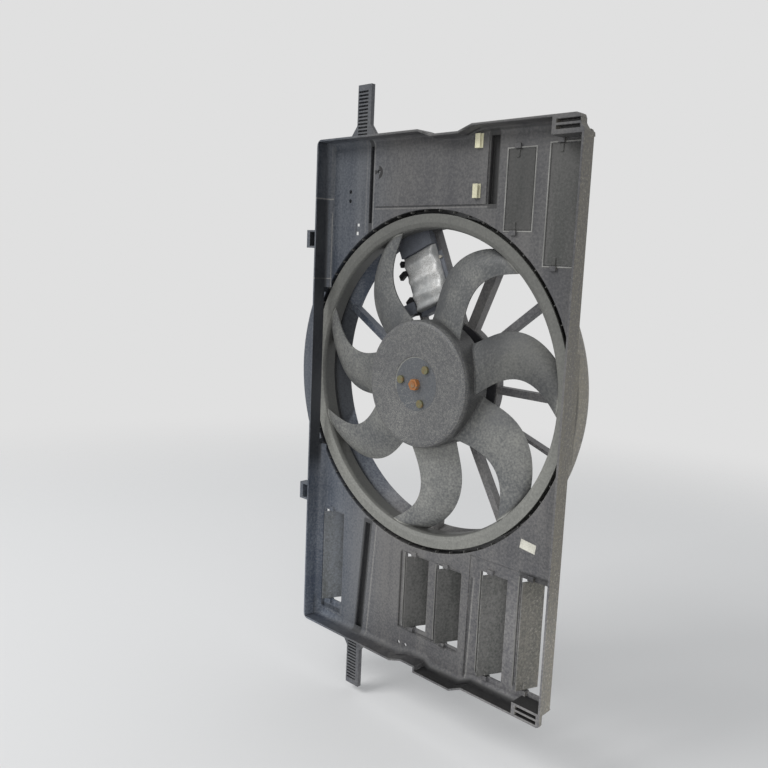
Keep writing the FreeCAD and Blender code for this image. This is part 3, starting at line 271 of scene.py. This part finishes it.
def mouldingShade(g, look, front, rightWall):
    zone, by = mouldingZones, mouldingShades
    x, y, z = g.axis("X"), g.axis("Y"), g.axis("Z")
    turn = g.normal()
    side, upward = g.axis("X", turn), g.axis("Z", turn)
    radius = (x * x + z * z) ** 0.5

    # painted light falls off towards the top, and the lower corners, the carrier's deep part, the
    # right-hand wall and the bulge are painted lighter
    shade = 1.0 - g.step(z, *zone["height"]) * by["top"]
    corners = g.step(x, *zone["lowRight"]) * by["lowRight"]
    corners = corners + g.step(x * -1, *zone["lowLeft"]) * by["lowLeft"]
    shade = shade + g.step(z * -1, *zone["lowRows"]) * corners
    shade = shade * (1 + g.step(y, *zone["carrierDepth"]) * by["carrier"])
    shade = shade * (1 + rightWall * by["rightWall"])
    shade = shade * (1 + g.step(x, *zone["bulge"]) * g.step(y, *zone["bulgeDepth"]) * by["bulge"])

    # the left wall's and the bottom wall's insides and the tunnel lie in shade
    leftWall = g.step(side, *turned["fully"]) * (1 - g.step(x, *zone["leftWall"]))
    leftWall = leftWall * g.step(z, *zone["leftWallFoot"])
    middle = g.band(z, *zone["leftWallMiddle"], softEdge["wall"])
    shade = shade * (1 - leftWall * (by["leftWall"] + middle * by["leftWallMiddle"]))
    floorWall = g.step(upward, *turned["mostly"]) * g.step(z * -1, *zone["floorWall"])
    shade = shade * (1 - floorWall * (by["floorWall"] + g.step(x, *zone["floorRight"]) * by["floorRight"]))
    inward = g.step((x * side + z * upward) / radius * -1, *turned["inward"])
    tunnel = g.step(radius, *zone["tunnelStart"]) * (1 - g.step(radius, *zone["tunnelEnd"])) * inward
    shade = shade * (1 - tunnel * g.band(y, *zone["tunnelDepth"], softEdge["tunnel"]) * by["tunnel"])

    # painted shade in the panel's sunk channels, grooves and pit, and the vanes nearer the fan are
    # painted darker
    for box, strength, lean in look["dark"]:
        shade = shade * (1 - g.patch(x, z, box, softEdge["groove"], lean) * front * strength)
    if look["dark"]:
        outside = g.step(radius, *zone["sunkStart"])
        sunk = g.band(y, *zone["sunkDepth"], softEdge["channel"]) * front * outside
        shade = shade * (1 - sunk * by["sunk"])
        pit = g.disc(x, z, look["pit"]["centre"], -1, look["pit"]["radius"], softEdge["slit"])
        arc = look["crescent"]
        crescent = g.disc(x, z, arc["centre"], arc["inner"], arc["outer"], softEdge["slit"])
        pit = pit + crescent * g.step(x, *zone["crescentRight"])
        pit = pit + g.patch(x, z, look["groove"]["box"], softEdge["slit"]) * look["groove"]["share"]
        return shade * (1 - pit * front * by["pit"])
    inner = g.step(z * -1, *zone["vaneLow"]) * (1 - g.step(x, *zone["vaneLowRight"]))
    inner = inner * g.step(x, *zone["vaneLowLeft"])
    inner = inner + g.step(z, *zone["vaneHigh"]) * (1 - g.step(x, *zone["vaneHighRight"])) * by["vaneHigh"]
    return shade * (1 - inner * by["vane"])


# the fan's plastic: dust in clouds on the blades, a darker hub with a bluish recess round the
# screws, a painted highlight in an arc beside it, a pale line along the ring, and worn edges with
# painted highlight along them
fanLook = {
    "clean": (0.070, 0.073, 0.076), "dust": (0.190, 0.190, 0.176), "rim": (0.150, 0.150, 0.135),
    "hub": (0.088, 0.088, 0.095), "edge": (0.36, 0.36, 0.33), "blue": (0.080, 0.090, 0.105),
    "cloudScale": 14, "grainScale": 380, "speckScale": 900, "dustFrom": (0.48, 0.98),
    "hubMix": 0.85, "rimMix": 0.7, "blueMix": 0.55, "speckMix": 0.4, "arcMix": 0.7, "lineMix": 0.45,
    "edgeWearAndHighlightRadius": 0.001, "edgeWearAndHighlightMix": 0.3,
    "roughness": 0.46, "dustRoughness": 0.22, "relief": 0.4, "edgeRadius": 0.0009,
}
fanZones = {
    "hub": (0.079, 0.083), "ring": (0.188, 0.194), "recess": 0.034, "recessEdge": 0.001,
    "arc": (0.0334, 0.0348), "arcSide": (0.018, 0.03), "line": (0.1915, 0.1935),
    "skirtDepth": (0.014, 0.020), "skirt": (0.0805, 0.084), "ringDepth": (0.026, 0.034),
    "ringStart": (0.188, 0.192), "bladeRoot": (0.082, 0.088), "bladeTip": (0.186, 0.192),
    "darkerRows": (-0.02, 0.09), "darkerRowsSoft": 0.03, "darkerSide": (0.06, 0.1), "lowBlades": (0.02, 0.14),
    "height": (-0.15, 0.2), "rimHeight": (-0.12, 0.2), "rimLeft": (0.08, 0.16),
}
fanShades = {
    "skirt": 0.4, "deep": 0.65, "darkerRight": 0.42, "low": 0.2, "foot": 1.08, "top": 0.12, "hub": 0.14,
    "rim": 0.30, "rimTop": 0.55, "rimLeft": 0.03, "grain": (0.74, 0.52),
}


def fanPlastic(name, look):
    g = newMaterial(name)
    zone = fanZones
    x, z = g.axis("X"), g.axis("Z")
    radius = (x * x + z * z) ** 0.5
    front = g.step(g.axis("Y", g.normal()) * -1, *turned["fully"])
    cloud = g.noise(look["cloudScale"], 4)
    grain = g.noise(look["grainScale"], 3)
    speck = g.noise(look["speckScale"], 2)
    dust = g.step(cloud * 0.8 + grain * 0.55, *look["dustFrom"])
    onHub = 1 - g.step(radius, *zone["hub"])
    onRing = g.step(radius, *zone["ring"])
    colour = g.mix(dust, look["clean"], look["dust"])
    hubColour = g.mix(g.step(speck + grain * 0.5, 0.62, 1.0), look["hub"], look["dust"])
    colour = g.mix(onHub * look["hubMix"], colour, hubColour)
    colour = g.mix(onRing * look["rimMix"], colour, look["rim"])
    recess = g.step(zone["recess"] - radius, 0, zone["recessEdge"]) * front
    colour = g.mix(recess * look["blueMix"], colour, look["blue"])
    specks = onHub * front * g.step(speck * 0.8 + cloud * 0.5, 0.76, 0.86)
    colour = g.mix(specks * look["speckMix"], colour, look["edge"])
    # painted highlight: a pale arc on the recess's upper-left edge; beside it a pale line along the ring
    arc = g.band(radius, *zone["arc"], softEdge["line"]) * g.step(z - x, *zone["arcSide"]) * front
    line = g.band(radius, *zone["line"], softEdge["channel"]) * front
    wornAndHighlight = arc * look["arcMix"] + line * look["lineMix"]
    colour = g.mix(wornAndHighlight * (0.5 + grain), colour, look["edge"])
    # worn edges with painted highlight along them
    colour = g.mix(g.edges(look["edgeWearAndHighlightRadius"]) * look["edgeWearAndHighlightMix"], colour, look["edge"])
    base, swing = fanShades["grain"]
    shade = fanShade(g, front, onHub) * (base + grain * swing)
    return g.finish(g.scaled(colour, shade), look["roughness"] + dust * look["dustRoughness"],
                    grain * 0.55 + speck * 0.5, bump=look["relief"], soften=look["edgeRadius"])


def fanShade(g, front, onHub):
    # painted shade on the hub, its skirt and in the ring's depth, darker right-hand blades, painted
    # light that falls off towards the top and lifts the low blades, and painted light on the ring's face,
    # lighter low down and darker at the top and the left
    zone, by = fanZones, fanShades
    x, y, z = g.axis("X"), g.axis("Y"), g.axis("Z")
    radius = (x * x + z * z) ** 0.5
    skirt = g.step(y, *zone["skirtDepth"]) * (1 - g.step(radius, *zone["skirt"]))
    deep = g.step(y, *zone["ringDepth"]) * g.step(radius, *zone["ringStart"])
    blades = g.step(radius, *zone["bladeRoot"]) * (1 - g.step(radius, *zone["bladeTip"]))
    darkerRight = g.band(z, *zone["darkerRows"], zone["darkerRowsSoft"]) * g.step(x, *zone["darkerSide"]) * blades
    low = g.step(z * -1, *zone["lowBlades"]) * blades
    shade = (1 - skirt * by["skirt"]) * (1 - deep * by["deep"]) * (1 - darkerRight * by["darkerRight"])
    shade = shade * (by["foot"] - g.step(z, *zone["height"]) * by["top"] + low * by["low"])
    shade = shade * (1 - onHub * by["hub"])
    rim = g.step(radius, *zone["ringStart"]) * front
    light = by["rim"] - g.step(z, *zone["rimHeight"]) * by["rimTop"]
    light = light - g.step(x * -1, *zone["rimLeft"]) * by["rimLeft"]
    return shade * (1 + rim * light)


rustLook = {
    "nut": {"steel": (0.20, 0.18, 0.14), "rust": (0.36, 0.15, 0.05), "pale": (0.42, 0.36, 0.22),
            "amount": 0.25},
    "screws": {"steel": (0.15, 0.145, 0.08), "rust": (0.20, 0.13, 0.06), "pale": (0.26, 0.24, 0.14),
               "amount": 0.08},
    "shaft": {"steel": (0.24, 0.17, 0.10), "rust": (0.30, 0.13, 0.05), "pale": (0.4, 0.3, 0.2),
              "amount": 0.2},
}


def rustySteel(name, look):
    g = newMaterial(name)
    patch = g.noise(160, 4)
    pit = g.noise(900, 2)
    rust = g.step(patch + pit * 0.4, 0.75 - look["amount"], 0.95 - look["amount"])
    colour = g.mix(rust, look["steel"], look["rust"])
    colour = g.mix(g.step(pit, 0.58, 0.7) * 0.5, colour, look["pale"])
    return g.finish(colour, 0.45 + rust * 0.4, patch + pit * 0.5, bump=0.5, metallic=0.4)


aluminiumLook = {"dull": (0.40, 0.41, 0.41), "bright": (0.65, 0.65, 0.64), "dirt": (0.20, 0.19, 0.17)}


def castAluminium(name, look):
    g = newMaterial(name)
    patch = g.noise(60, 4)
    grain = g.noise(700, 2)
    colour = g.mix(g.step(patch, 0.35, 0.65), look["dull"], look["bright"])
    colour = g.mix(g.step(grain + patch * 0.5, 0.72, 0.95) * 0.5, colour, look["dirt"])
    return g.finish(colour, 0.36 + patch * 0.2, grain + patch * 0.6, bump=0.3, metallic=0.35)


def plainPlastic(name, colour, roughness):
    g = newMaterial(name)
    cloud = g.noise(30, 3)
    grain = g.noise(600, 2)
    light = tuple(min(1, c * 1.7) for c in colour)
    mixed = g.mix(g.step(cloud + grain * 0.4, 0.5, 0.95), colour, light)
    return g.finish(mixed, roughness + cloud * 0.15, grain, bump=0.25)


def bareSteel(name, colour, roughness):
    g = newMaterial(name)
    turnedLines = g.noise(500, 2, stretch=(0.15, 1, 0.15))
    cloud = g.noise(40, 3)
    dark = tuple(c * 0.7 for c in colour)
    mixed = g.mix(g.step(cloud + turnedLines * 0.4, 0.5, 0.9), colour, dark)
    return g.finish(mixed, roughness + cloud * 0.15, turnedLines, bump=0.15, metallic=0.9)


def dress(names, material):
    for name in names:
        thing = nodes[name]
        thing.data.materials.clear()
        thing.data.materials.append(material)


plainLook = {**mouldingLook, "dark": [], "pale": [], "slits": []}
vaneLook = {**plainLook, "clean": (0.062, 0.065, 0.060), "cool": (0.070, 0.074, 0.072)}
materials = {
    "moulding": mouldingPlastic("mouldingPlastic", mouldingLook),
    "carrier": mouldingPlastic("carrierPlastic", plainLook),
    "lowerVane": mouldingPlastic("lowerVanePlastic", vaneLook, dustier=0.02),
    "upperVane": mouldingPlastic("upperVanePlastic", vaneLook, dustier=0.04, lit=0.80),
    "fan": fanPlastic("fanPlastic", fanLook),
    "aluminium": castAluminium("castAluminium", aluminiumLook),
    "housing": plainPlastic("modulePlastic", (0.092, 0.099, 0.114), 0.5),
    "wornAndHighlight": plainPlastic("wornRidge", (0.170, 0.168, 0.160), 0.6),
    "black": plainPlastic("blackClipsAndShade", (0.012, 0.012, 0.013), 0.6),
    "rib": plainPlastic("ribPlastic", (0.060, 0.059, 0.056), 0.6),
}
vanes = [name for name in nodes if name.startswith("flap_")]
dress(["shroud_panel"], materials["moulding"])
dress(["fan_carrier"], materials["carrier"])
dress([name for name in vanes if "upper" in name], materials["upperVane"])
dress([name for name in vanes if "upper" not in name], materials["lowerVane"])
dress(["fan_rotor"], materials["fan"])
dress(["shaft_nut"], rustySteel("rustyNut", rustLook["nut"]))
dress(["fan_screws"], rustySteel("rustyScrew", rustLook["screws"]))
dress(["motor_shaft"], rustySteel("rustyShaft", rustLook["shaft"]))
dress(["fan_driver", "motor_screws", "module_screws"], bareSteel("zincSteel", (0.55, 0.52, 0.45), 0.35))
dress(["front_bearing", "rear_bearing"], bareSteel("shaftSteel", (0.6, 0.6, 0.6), 0.25))
dress(["armature_core"], bareSteel("coreIron", (0.3, 0.3, 0.31), 0.5))
dress(["armature_windings", "commutator"], bareSteel("copperWire", (0.72, 0.36, 0.2), 0.3))
dress(["motor_can", "motor_end_cap"], plainPlastic("motorPaint", (0.03, 0.03, 0.033), 0.4))
dress(["motor_magnets", "brushes"], plainPlastic("ferrite", (0.05, 0.05, 0.055), 0.6))
dress(["module_heatsink"], materials["aluminium"])
dress(["module_housing", "brush_plate"], materials["housing"])
dress(["spring_clip_upper", "spring_clip_lower"], plainPlastic("clipSteel", (0.44, 0.42, 0.30), 0.5))
dress(["brush_springs"], bareSteel("springSteel", (0.6, 0.56, 0.45), 0.3))
dress(["blank_label"], plainPlastic("labelPaper", (0.42, 0.41, 0.36), 0.6))
print("materials on the frame's nodes")


# new pieces: each is one or more numpy grids of points, joined by quads

def linked(name, mesh):
    made = bpy.data.objects.new(name, mesh)
    bpy.context.scene.collection.objects.link(made)
    return made


def grown(name, body, grids, material, smooth=True):
    points, quads, base = [], [], 0
    for grid in grids:
        rows, columns = grid.shape[:2]
        index = base + np.arange(rows * columns).reshape(rows, columns)
        corners = (index[:-1, :-1], index[1:, :-1], index[1:, 1:], index[:-1, 1:])
        quads.append(np.stack([c.ravel() for c in corners], axis=1))
        points.append(grid.reshape(-1, 3))
        base += rows * columns
    mesh = bpy.data.meshes.new(name)
    mesh.from_pydata(np.concatenate(points).tolist(), [], np.concatenate(quads).tolist())
    mesh.polygons.foreach_set("use_smooth", [smooth] * len(mesh.polygons))
    mesh.validate()
    made = linked(name, mesh)
    made.data.materials.append(material)
    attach(made, body)
    return made


def swept(path, section, level):
    # the section follows the path on the plane y = level: its first number is the distance to the
    # path's left along the mitre, its second the height towards the viewer, all in mm
    path, section = np.array(path, float), np.array(section, float)
    along = np.diff(path, axis=0)
    along /= np.linalg.norm(along, axis=1)[:, None]
    aside = np.stack([-along[:, 1], along[:, 0]], axis=1)
    closed = np.allclose(path[0], path[-1])
    before = np.concatenate([aside[-1:] if closed else aside[:1], aside])
    after = np.concatenate([aside, aside[:1] if closed else aside[-1:]])
    mitre = (before + after) / (1 + (before * after).sum(axis=1))[:, None]
    flat = path[:, None, :] + mitre[:, None, :] * section[None, :, :1]
    depth = level - np.broadcast_to(section[None, :, 1], flat.shape[:2])
    return np.stack([flat[..., 0], depth, flat[..., 1]], axis=-1) * millimetre


def ridge(half, rise):
    # a low dome across the path: half an ellipse in seven points
    turn = np.linspace(math.pi, 0, 7)
    return np.stack([half * np.cos(turn), rise * np.sin(turn)], axis=1)


def hollow(reach):
    # a quarter circle that rounds the corner between a wall and the panel
    turn = np.linspace(0, math.pi / 2, 9)
    return np.stack([reach * (1 - np.cos(turn)), reach * (1 - np.sin(turn))], axis=1)


def loop(left, right, low, high):
    # a closed rectangle as a path
    return [(left, low), (right, low), (right, high), (left, high), (left, low)]


def prism(outline, start, end, upright=False):
    # a prism in one strip: centre, outline at the start, outline at the end, centre. It runs from
    # front to back, or upwards if upright
    ring = np.array([*outline, outline[0]], float)
    middle = np.repeat(ring[:-1].mean(axis=0)[None], len(ring), axis=0)
    order = [0, 1, 2] if upright else [0, 2, 1]
    levels = [(middle, start), (ring, start), (ring, end), (middle, end)]
    rows = [np.column_stack([flat, np.full(len(flat), level)])[:, order] for flat, level in levels]
    return np.stack(rows, axis=1) * millimetre


def rotated(points, turn):
    # the points turned about the origin, against the clock
    spin = np.array([[math.cos(turn), -math.sin(turn)], [math.sin(turn), math.cos(turn)]])
    return np.array(points, float) @ spin.T


# rounded inner corners between the panel and its upper and lower walls
cornerLook = {
    "front": 24.0, "radius": 8.5,
    "upperWalls": [(179, 303.5), (76.5, 303.5), (56.5, 296.5), (9.5, 296.5), (-10.5, 303.5),
                   (-185.5, 303.5), (-185.5, 111)],
    "lowerWalls": [(-185.5, -111), (-185.5, -365.5), (-17, -365.5), (3, -358.5), (27, -358.5),
                   (38, -365.5), (86, -365.5), (104, -356.5), (181, -356.5)],
}


def roundedCorners(look):
    section = hollow(look["radius"])
    walls = [swept(look[side], section, look["front"]) for side in ("upperWalls", "lowerWalls")]
    grown("roundedCorners", "shroud", walls, materials["moulding"])


# worn ridges: closed frames round the upper vents, and straight lines between the lower ones
ridgeLook = {
    "front": 24.0, "half": 0.8, "rise": 0.8,
    "frames": [(109, 147.2, 188.4, 279.6), (164.3, 202.6, 150.9, 282.2)],
    "lines": [[(-16, -225), (-16, -327)], [(37.5, -226), (37.5, -327)], [(107.6, -213), (107.6, -343)],
              [(162.8, -203), (162.8, -338)], [(204.8, -203), (204.8, -338)],
              [(213, 70), (213, 284)], [(213, -66), (213, -338)]],
}


def ventRidges(look):
    paths = [loop(*box) for box in look["frames"]] + look["lines"]
    grids = [swept(path, ridge(look["half"], look["rise"]), look["front"]) for path in paths]
    grown("ventRidges", "shroud", grids, materials["wornAndHighlight"])


# the right-hand catches: fills behind their faces, and cuts that round their outer corners. Each
# cut is an outline, then its front and its back, and neighbours overlap a little in depth.
catchLook = {
    "fillFront": 11.9, "fillBack": 24.1, "weld": 2e-6, "sharp": 32,
    "fills": [
        [(179.4, 288.2), (216.8, 284), (216.4, 288), (213, 291.2), (209, 293), (206, 296), (206, 300),
         (204.2, 303.6), (200, 305.6), (179.4, 305.6)],
        [(179.4, -358.6), (198.5, -358.6), (202.4, -357.4), (204.2, -354.6), (205.2, -351.2), (208, -348.8),
         (213, -347.4), (216.6, -345), (179.4, -345.4)],
    ],
    "cuts": [
        ([(208, 309), (208, 306), (211.6, 304.4), (213.2, 300.5), (213.2, 296.4), (214.8, 293.6),
          (216.8, 291), (218.6, 287), (222, 287), (222, 309)], -3, 13.1),
        ([(200, 309), (200, 306), (204.5, 304), (206.4, 300), (206.4, 296.2), (209.4, 293.4), (213.4, 291.6),
          (216.8, 288.4), (218.6, 282), (222, 282), (222, 309)], 12.9, 30),
        ([(213, -362), (222, -362), (222, -354), (218.4, -354.6), (217, -357.4), (214, -359.1)], -3, 5.1),
        ([(208, -362), (222, -362), (222, -344), (218.6, -344), (214.6, -347.4), (213.4, -350),
          (213, -355), (211.4, -358), (208.4, -359.3)], 4.9, 13.1),
        ([(198.5, -362), (222, -362), (222, -342), (218.6, -342), (217.2, -345), (213.2, -347.6),
          (208.2, -349), (205.4, -351.4), (204.6, -355), (202.8, -358), (198.5, -359.4)], 12.9, 30),
    ],
}


def closedPrism(name, outline, front, back):
    # a prism with whole end faces and shared corners, which a boolean can cut with
    outline, count = np.array(outline, float), len(outline)
    ends = [np.column_stack([outline[:, 0], np.full(count, depth), outline[:, 1]])
            for depth in (front, back)]
    here = np.arange(count)
    after = np.roll(here, -1)
    sides = np.stack([here, count + here, count + after, after], axis=1)
    mesh = bpy.data.meshes.new(name)
    mesh.from_pydata((np.concatenate(ends) * millimetre).tolist(), [],
                     [here.tolist(), (count + here[::-1]).tolist()] + sides.tolist())
    return linked(name, mesh)


def roundedCatches(look):
    fills = [prism(outline, look["fillFront"], look["fillBack"]) for outline in look["fills"]]
    grown("cornerFills", "shroud", fills, materials["moulding"], smooth=False)
    stack = nodes["shroud_panel"].modifiers
    stack.new("joined", "WELD").merge_threshold = look["weld"]
    for number, (outline, front, back) in enumerate(look["cuts"], 1):
        cutter = closedPrism("cornerCutter%d" % number, outline, front, back)
        cutter.hide_render = cutter.hide_viewport = True
        cut = stack.new("roundedCatch%d" % number, "BOOLEAN")
        cut.operation, cut.solver, cut.object = "DIFFERENCE", "EXACT", cutter
    stack.new("sharpEdges", "EDGE_SPLIT").split_angle = math.radians(look["sharp"])


# ribs in the gap round the fan: upright plates on the opening's edge, evenly turned
gapRibLook = {"count": 58, "inner": 212.2, "outer": 215.2, "half": 0.45, "front": 24.8, "back": 31}


def gapRibs(look):
    inner, outer, half = look["inner"], look["outer"], look["half"]
    plate = [(inner, -half), (outer, -half), (outer, half), (inner, half)]
    turns = np.arange(look["count"]) * 2 * math.pi / look["count"]
    ribs = [prism(rotated(plate, turn), look["front"], look["back"]) for turn in turns]
    grown("gapRibs", "shroud", ribs, materials["rib"], smooth=False)


# a black sheet behind two stem holes, as painted shade in them, and black strips in the gaps at
# the closed upper vanes' feet, as painted shade there
stemShadeLook = {"box": (-148, -141, 223, 245), "front": 26.6, "back": 27.4}
gapShadeLook = {
    "width": 34.2, "low": 0.04, "high": 0.36, "front": 24.4, "back": 26.1,
    "strips": {"upperGapShadeInner": ("flap_upper_inner", 110.9, 189.5),
               "upperGapShadeOuter": ("flap_upper_outer", 166.4, 152)},
}


# painted shade: the black sheet darkens the two stem holes
def stemHoleShade(look):
    holeShade = prism(loop(*look["box"])[:-1], look["front"], look["back"])
    grown("stemHoleShade", "shroud", [holeShade], materials["black"], smooth=False)


# painted shade: black strips fill the gaps at the closed upper vanes' feet
def upperGapShades(look):
    for name, (body, left, foot) in look["strips"].items():
        strip = loop(left, left + look["width"], foot + look["low"], foot + look["high"])[:-1]
        gapShade = prism(strip, look["front"], look["back"])
        grown(name, body, [gapShade], materials["black"], smooth=False)


roundedCorners(cornerLook)
ventRidges(ridgeLook)
roundedCatches(catchLook)
gapRibs(gapRibLook)
stemHoleShade(stemShadeLook)
upperGapShades(gapShadeLook)
print("panel pieces")


# the outer flap is a little narrower than its vent, so light shows beside it
slimLook = {"pivot": (178.69, 25.25), "open": 70, "near": -12.4, "far": 18.6, "half": 1.0,
            "foot": -336.65, "head": -204.35, "knuckleHalf": 2.0, "knuckle": 9, "peg": 1.5, "pegLong": 3.9}


def slimFlap(look):
    swing, knuckle = math.radians(look["open"]), look["knuckleHalf"]

    def plate(near, far, half):
        # a flat bar through the pivot, seen from above, turned open
        bar = [(near, -half), (far, -half), (far, half), (near, half)]
        return rotated(bar, swing) + look["pivot"]

    vanePlate = plate(look["near"], look["far"], look["half"])
    parts = [prism(vanePlate, look["foot"], look["head"], upright=True)]
    rounds = np.linspace(0, 2 * math.pi, 13)[:-1]
    peg = look["pivot"] + look["peg"] * np.column_stack([np.cos(rounds), np.sin(rounds)])
    block = plate(-knuckle, knuckle, knuckle)
    for end, way in ((look["foot"], 1), (look["head"], -1)):
        parts.append(prism(block, *sorted((end, end + way * look["knuckle"])), upright=True))
        parts.append(prism(peg, *sorted((end, end - way * look["pegLong"])), upright=True))
    vane = grown("slimOuterFlap", "flap_lower_outer", parts, materials["lowerVane"],
                 smooth=False)
    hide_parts("flap_lower_outer")


slimFlap(slimLook)
print("outer flap")


# the heat sink: a base block whose face rises and falls in rounded ribs along its height, with
# the corners of both ends rolled back
sinkLook = {"tilt": 24.0, "left": -11.6, "right": 43.6, "foot": 97.4, "top": 172.6, "base": 69.4,
            "crest": 57.6, "fall": 3.4, "ribs": 3.6, "slant": 0.16, "sharpness": 0.8, "roll": 7.0,
            "columns": 41, "rows": 97}

# the lead's black clips stand out at the sink's left, between it and its bar
tabLook = {"front": 64, "back": 69.8,
           "tabs": [[(-20, 164), (-11, 162), (-11, 169), (-16, 172), (-20, 170)],
                    [(-26, 148), (-18, 151), (-11, 149), (-11, 157), (-18, 158), (-27, 155)],
                    [(-27, 113), (-11, 112), (-11, 117), (-18, 122), (-27, 118)],
                    [(-20, 96), (-11, 94), (-11, 112), (-18, 112)]]}


def heatSink(look):
    # depth = crest + fall x a raised cosine of the height + the roll's quarter circle near the rim
    s, t = np.meshgrid(np.linspace(0, 1, look["columns"]), np.linspace(0, 1, look["rows"]))
    width, height = look["right"] - look["left"], look["top"] - look["foot"]
    wave = 0.5 - 0.5 * np.cos(2 * math.pi * (t * look["ribs"] + look["slant"] * s))
    edge = np.minimum(np.minimum(s, 1 - s) * width, np.minimum(t, 1 - t) * height)
    rolled = np.clip(1 - edge / look["roll"], 0, 1)
    quarter = 1 - np.sqrt(np.clip(1 - rolled ** 2, 0, 1))
    depth = look["crest"] + look["fall"] * wave ** look["sharpness"] + look["roll"] * quarter
    depth = np.where(edge <= 1e-9, look["base"], depth)
    across, up = look["left"] + s * width, look["foot"] + t * height
    flat = rotated(np.stack([across, up], axis=-1), math.radians(look["tilt"]))
    grid = np.stack([flat[..., 0], depth, flat[..., 1]], axis=-1) * millimetre
    sink = grown("ribbedHeatSink", "shroud", [grid], materials["aluminium"])
    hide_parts("module_heatsink")


def moduleTabs(look, tilt):
    outlines = [rotated(outline, math.radians(tilt)) for outline in look["tabs"]]
    tabs = [prism(outline, look["front"], look["back"]) for outline in outlines]
    grown("moduleTabs", "shroud", tabs, materials["black"], smooth=False)


heatSink(sinkLook)
moduleTabs(tabLook, sinkLook["tilt"])
print("heat sink")


# floor, backdrop and light
stageLook = {"floorLevel": -0.4465, "size": 2.2, "fadeFrom": 0.45, "fadeTo": 0.98, "floor": 0.735,
             "pale": 0.745, "skyTint": (0.97, 0.985, 1.0), "skyStrength": 0.66}


def stageFloor(look):
    bpy.ops.mesh.primitive_circle_add(vertices=96, radius=look["size"], fill_type="NGON",
                                      location=(0, 0, look["floorLevel"]))
    floor = bpy.context.object
    floor.name = "floor"
    g = newMaterial("paleFloor")
    x, y = g.axis("X"), g.axis("Y")
    far = g.step((x * x + y * y) ** 0.5, look["size"] * look["fadeFrom"], look["size"] * look["fadeTo"])
    plain = g.node("ShaderNodeBsdfDiffuse", sockets={"Color": (look["floor"],) * 3 + (1,)})
    clear = g.node("ShaderNodeBsdfTransparent")
    both = g.node("ShaderNodeMixShader", sockets={0: far, 1: plain, 2: clear})
    g.node("ShaderNodeOutputMaterial", sockets={"Surface": both})
    floor.data.materials.append(g.owner)


def backdrop(look):
    # the backdrop is seen and mirrored pale, and lights the object in a cooler, weaker white
    world = bpy.data.worlds.new("paleRoom")
    bpy.context.scene.world = world
    g = Graph(world)
    seen = g.node("ShaderNodeLightPath", out="Is Camera Ray")
    mirrored = g.node("ShaderNodeLightPath", out="Is Glossy Ray")
    pale = g.node("ShaderNodeBackground", sockets={"Color": (look["pale"],) * 3 + (1,)})
    light = g.node("ShaderNodeBackground", sockets={
        "Color": (*look["skyTint"], 1), "Strength": look["skyStrength"]})
    both = g.node("ShaderNodeMixShader", sockets={0: g.sums("MAXIMUM", seen, mirrored), 1: light, 2: pale})
    g.node("ShaderNodeOutputWorld", sockets={"Surface": both})


lampLook = {
    "key": {"place": (-1.2, -2.4, 2.2), "size": 1.6, "power": 60},
    "fill": {"place": (1.9, -1.9, 0.35), "size": 1.2, "power": 16},
}


def lamp(name, look):
    light = bpy.data.lights.new(name, "AREA")
    light.size = look["size"]
    light.energy = look["power"]
    holder = linked(name, light)
    holder.location = look["place"]
    holder.rotation_euler = (-Vector(look["place"])).to_track_quat("-Z", "Y").to_euler()


# the camera stands where the photographer's did
cameraLook = {
    "place": (0.6676, -0.735, 0.1486), "right": (0.713, 0.6999, 0.0422), "up": (-0.1336, 0.0766, 0.9881),
    "lens": 38.12, "sensor": 36, "nearest": 0.01,
}


def photoCamera(look):
    lens = bpy.data.cameras.new("camera")
    lens.lens = look["lens"]
    lens.sensor_width = look["sensor"]
    lens.clip_start = look["nearest"]
    camera = linked("camera", lens)
    across, upward = Vector(look["right"]).normalized(), Vector(look["up"])
    backward = across.cross(upward).normalized()
    turn = Matrix((across, backward.cross(across), backward)).transposed()
    camera.matrix_world = Matrix.Translation(look["place"]) @ turn.to_4x4()
    bpy.context.scene.camera = camera
    bpy.context.scene.view_settings.view_transform = "Standard"


stageFloor(stageLook)
backdrop(stageLook)
for lampName, look in lampLook.items():
    lamp(lampName, look)
photoCamera(cameraLook)
print("camera and light")
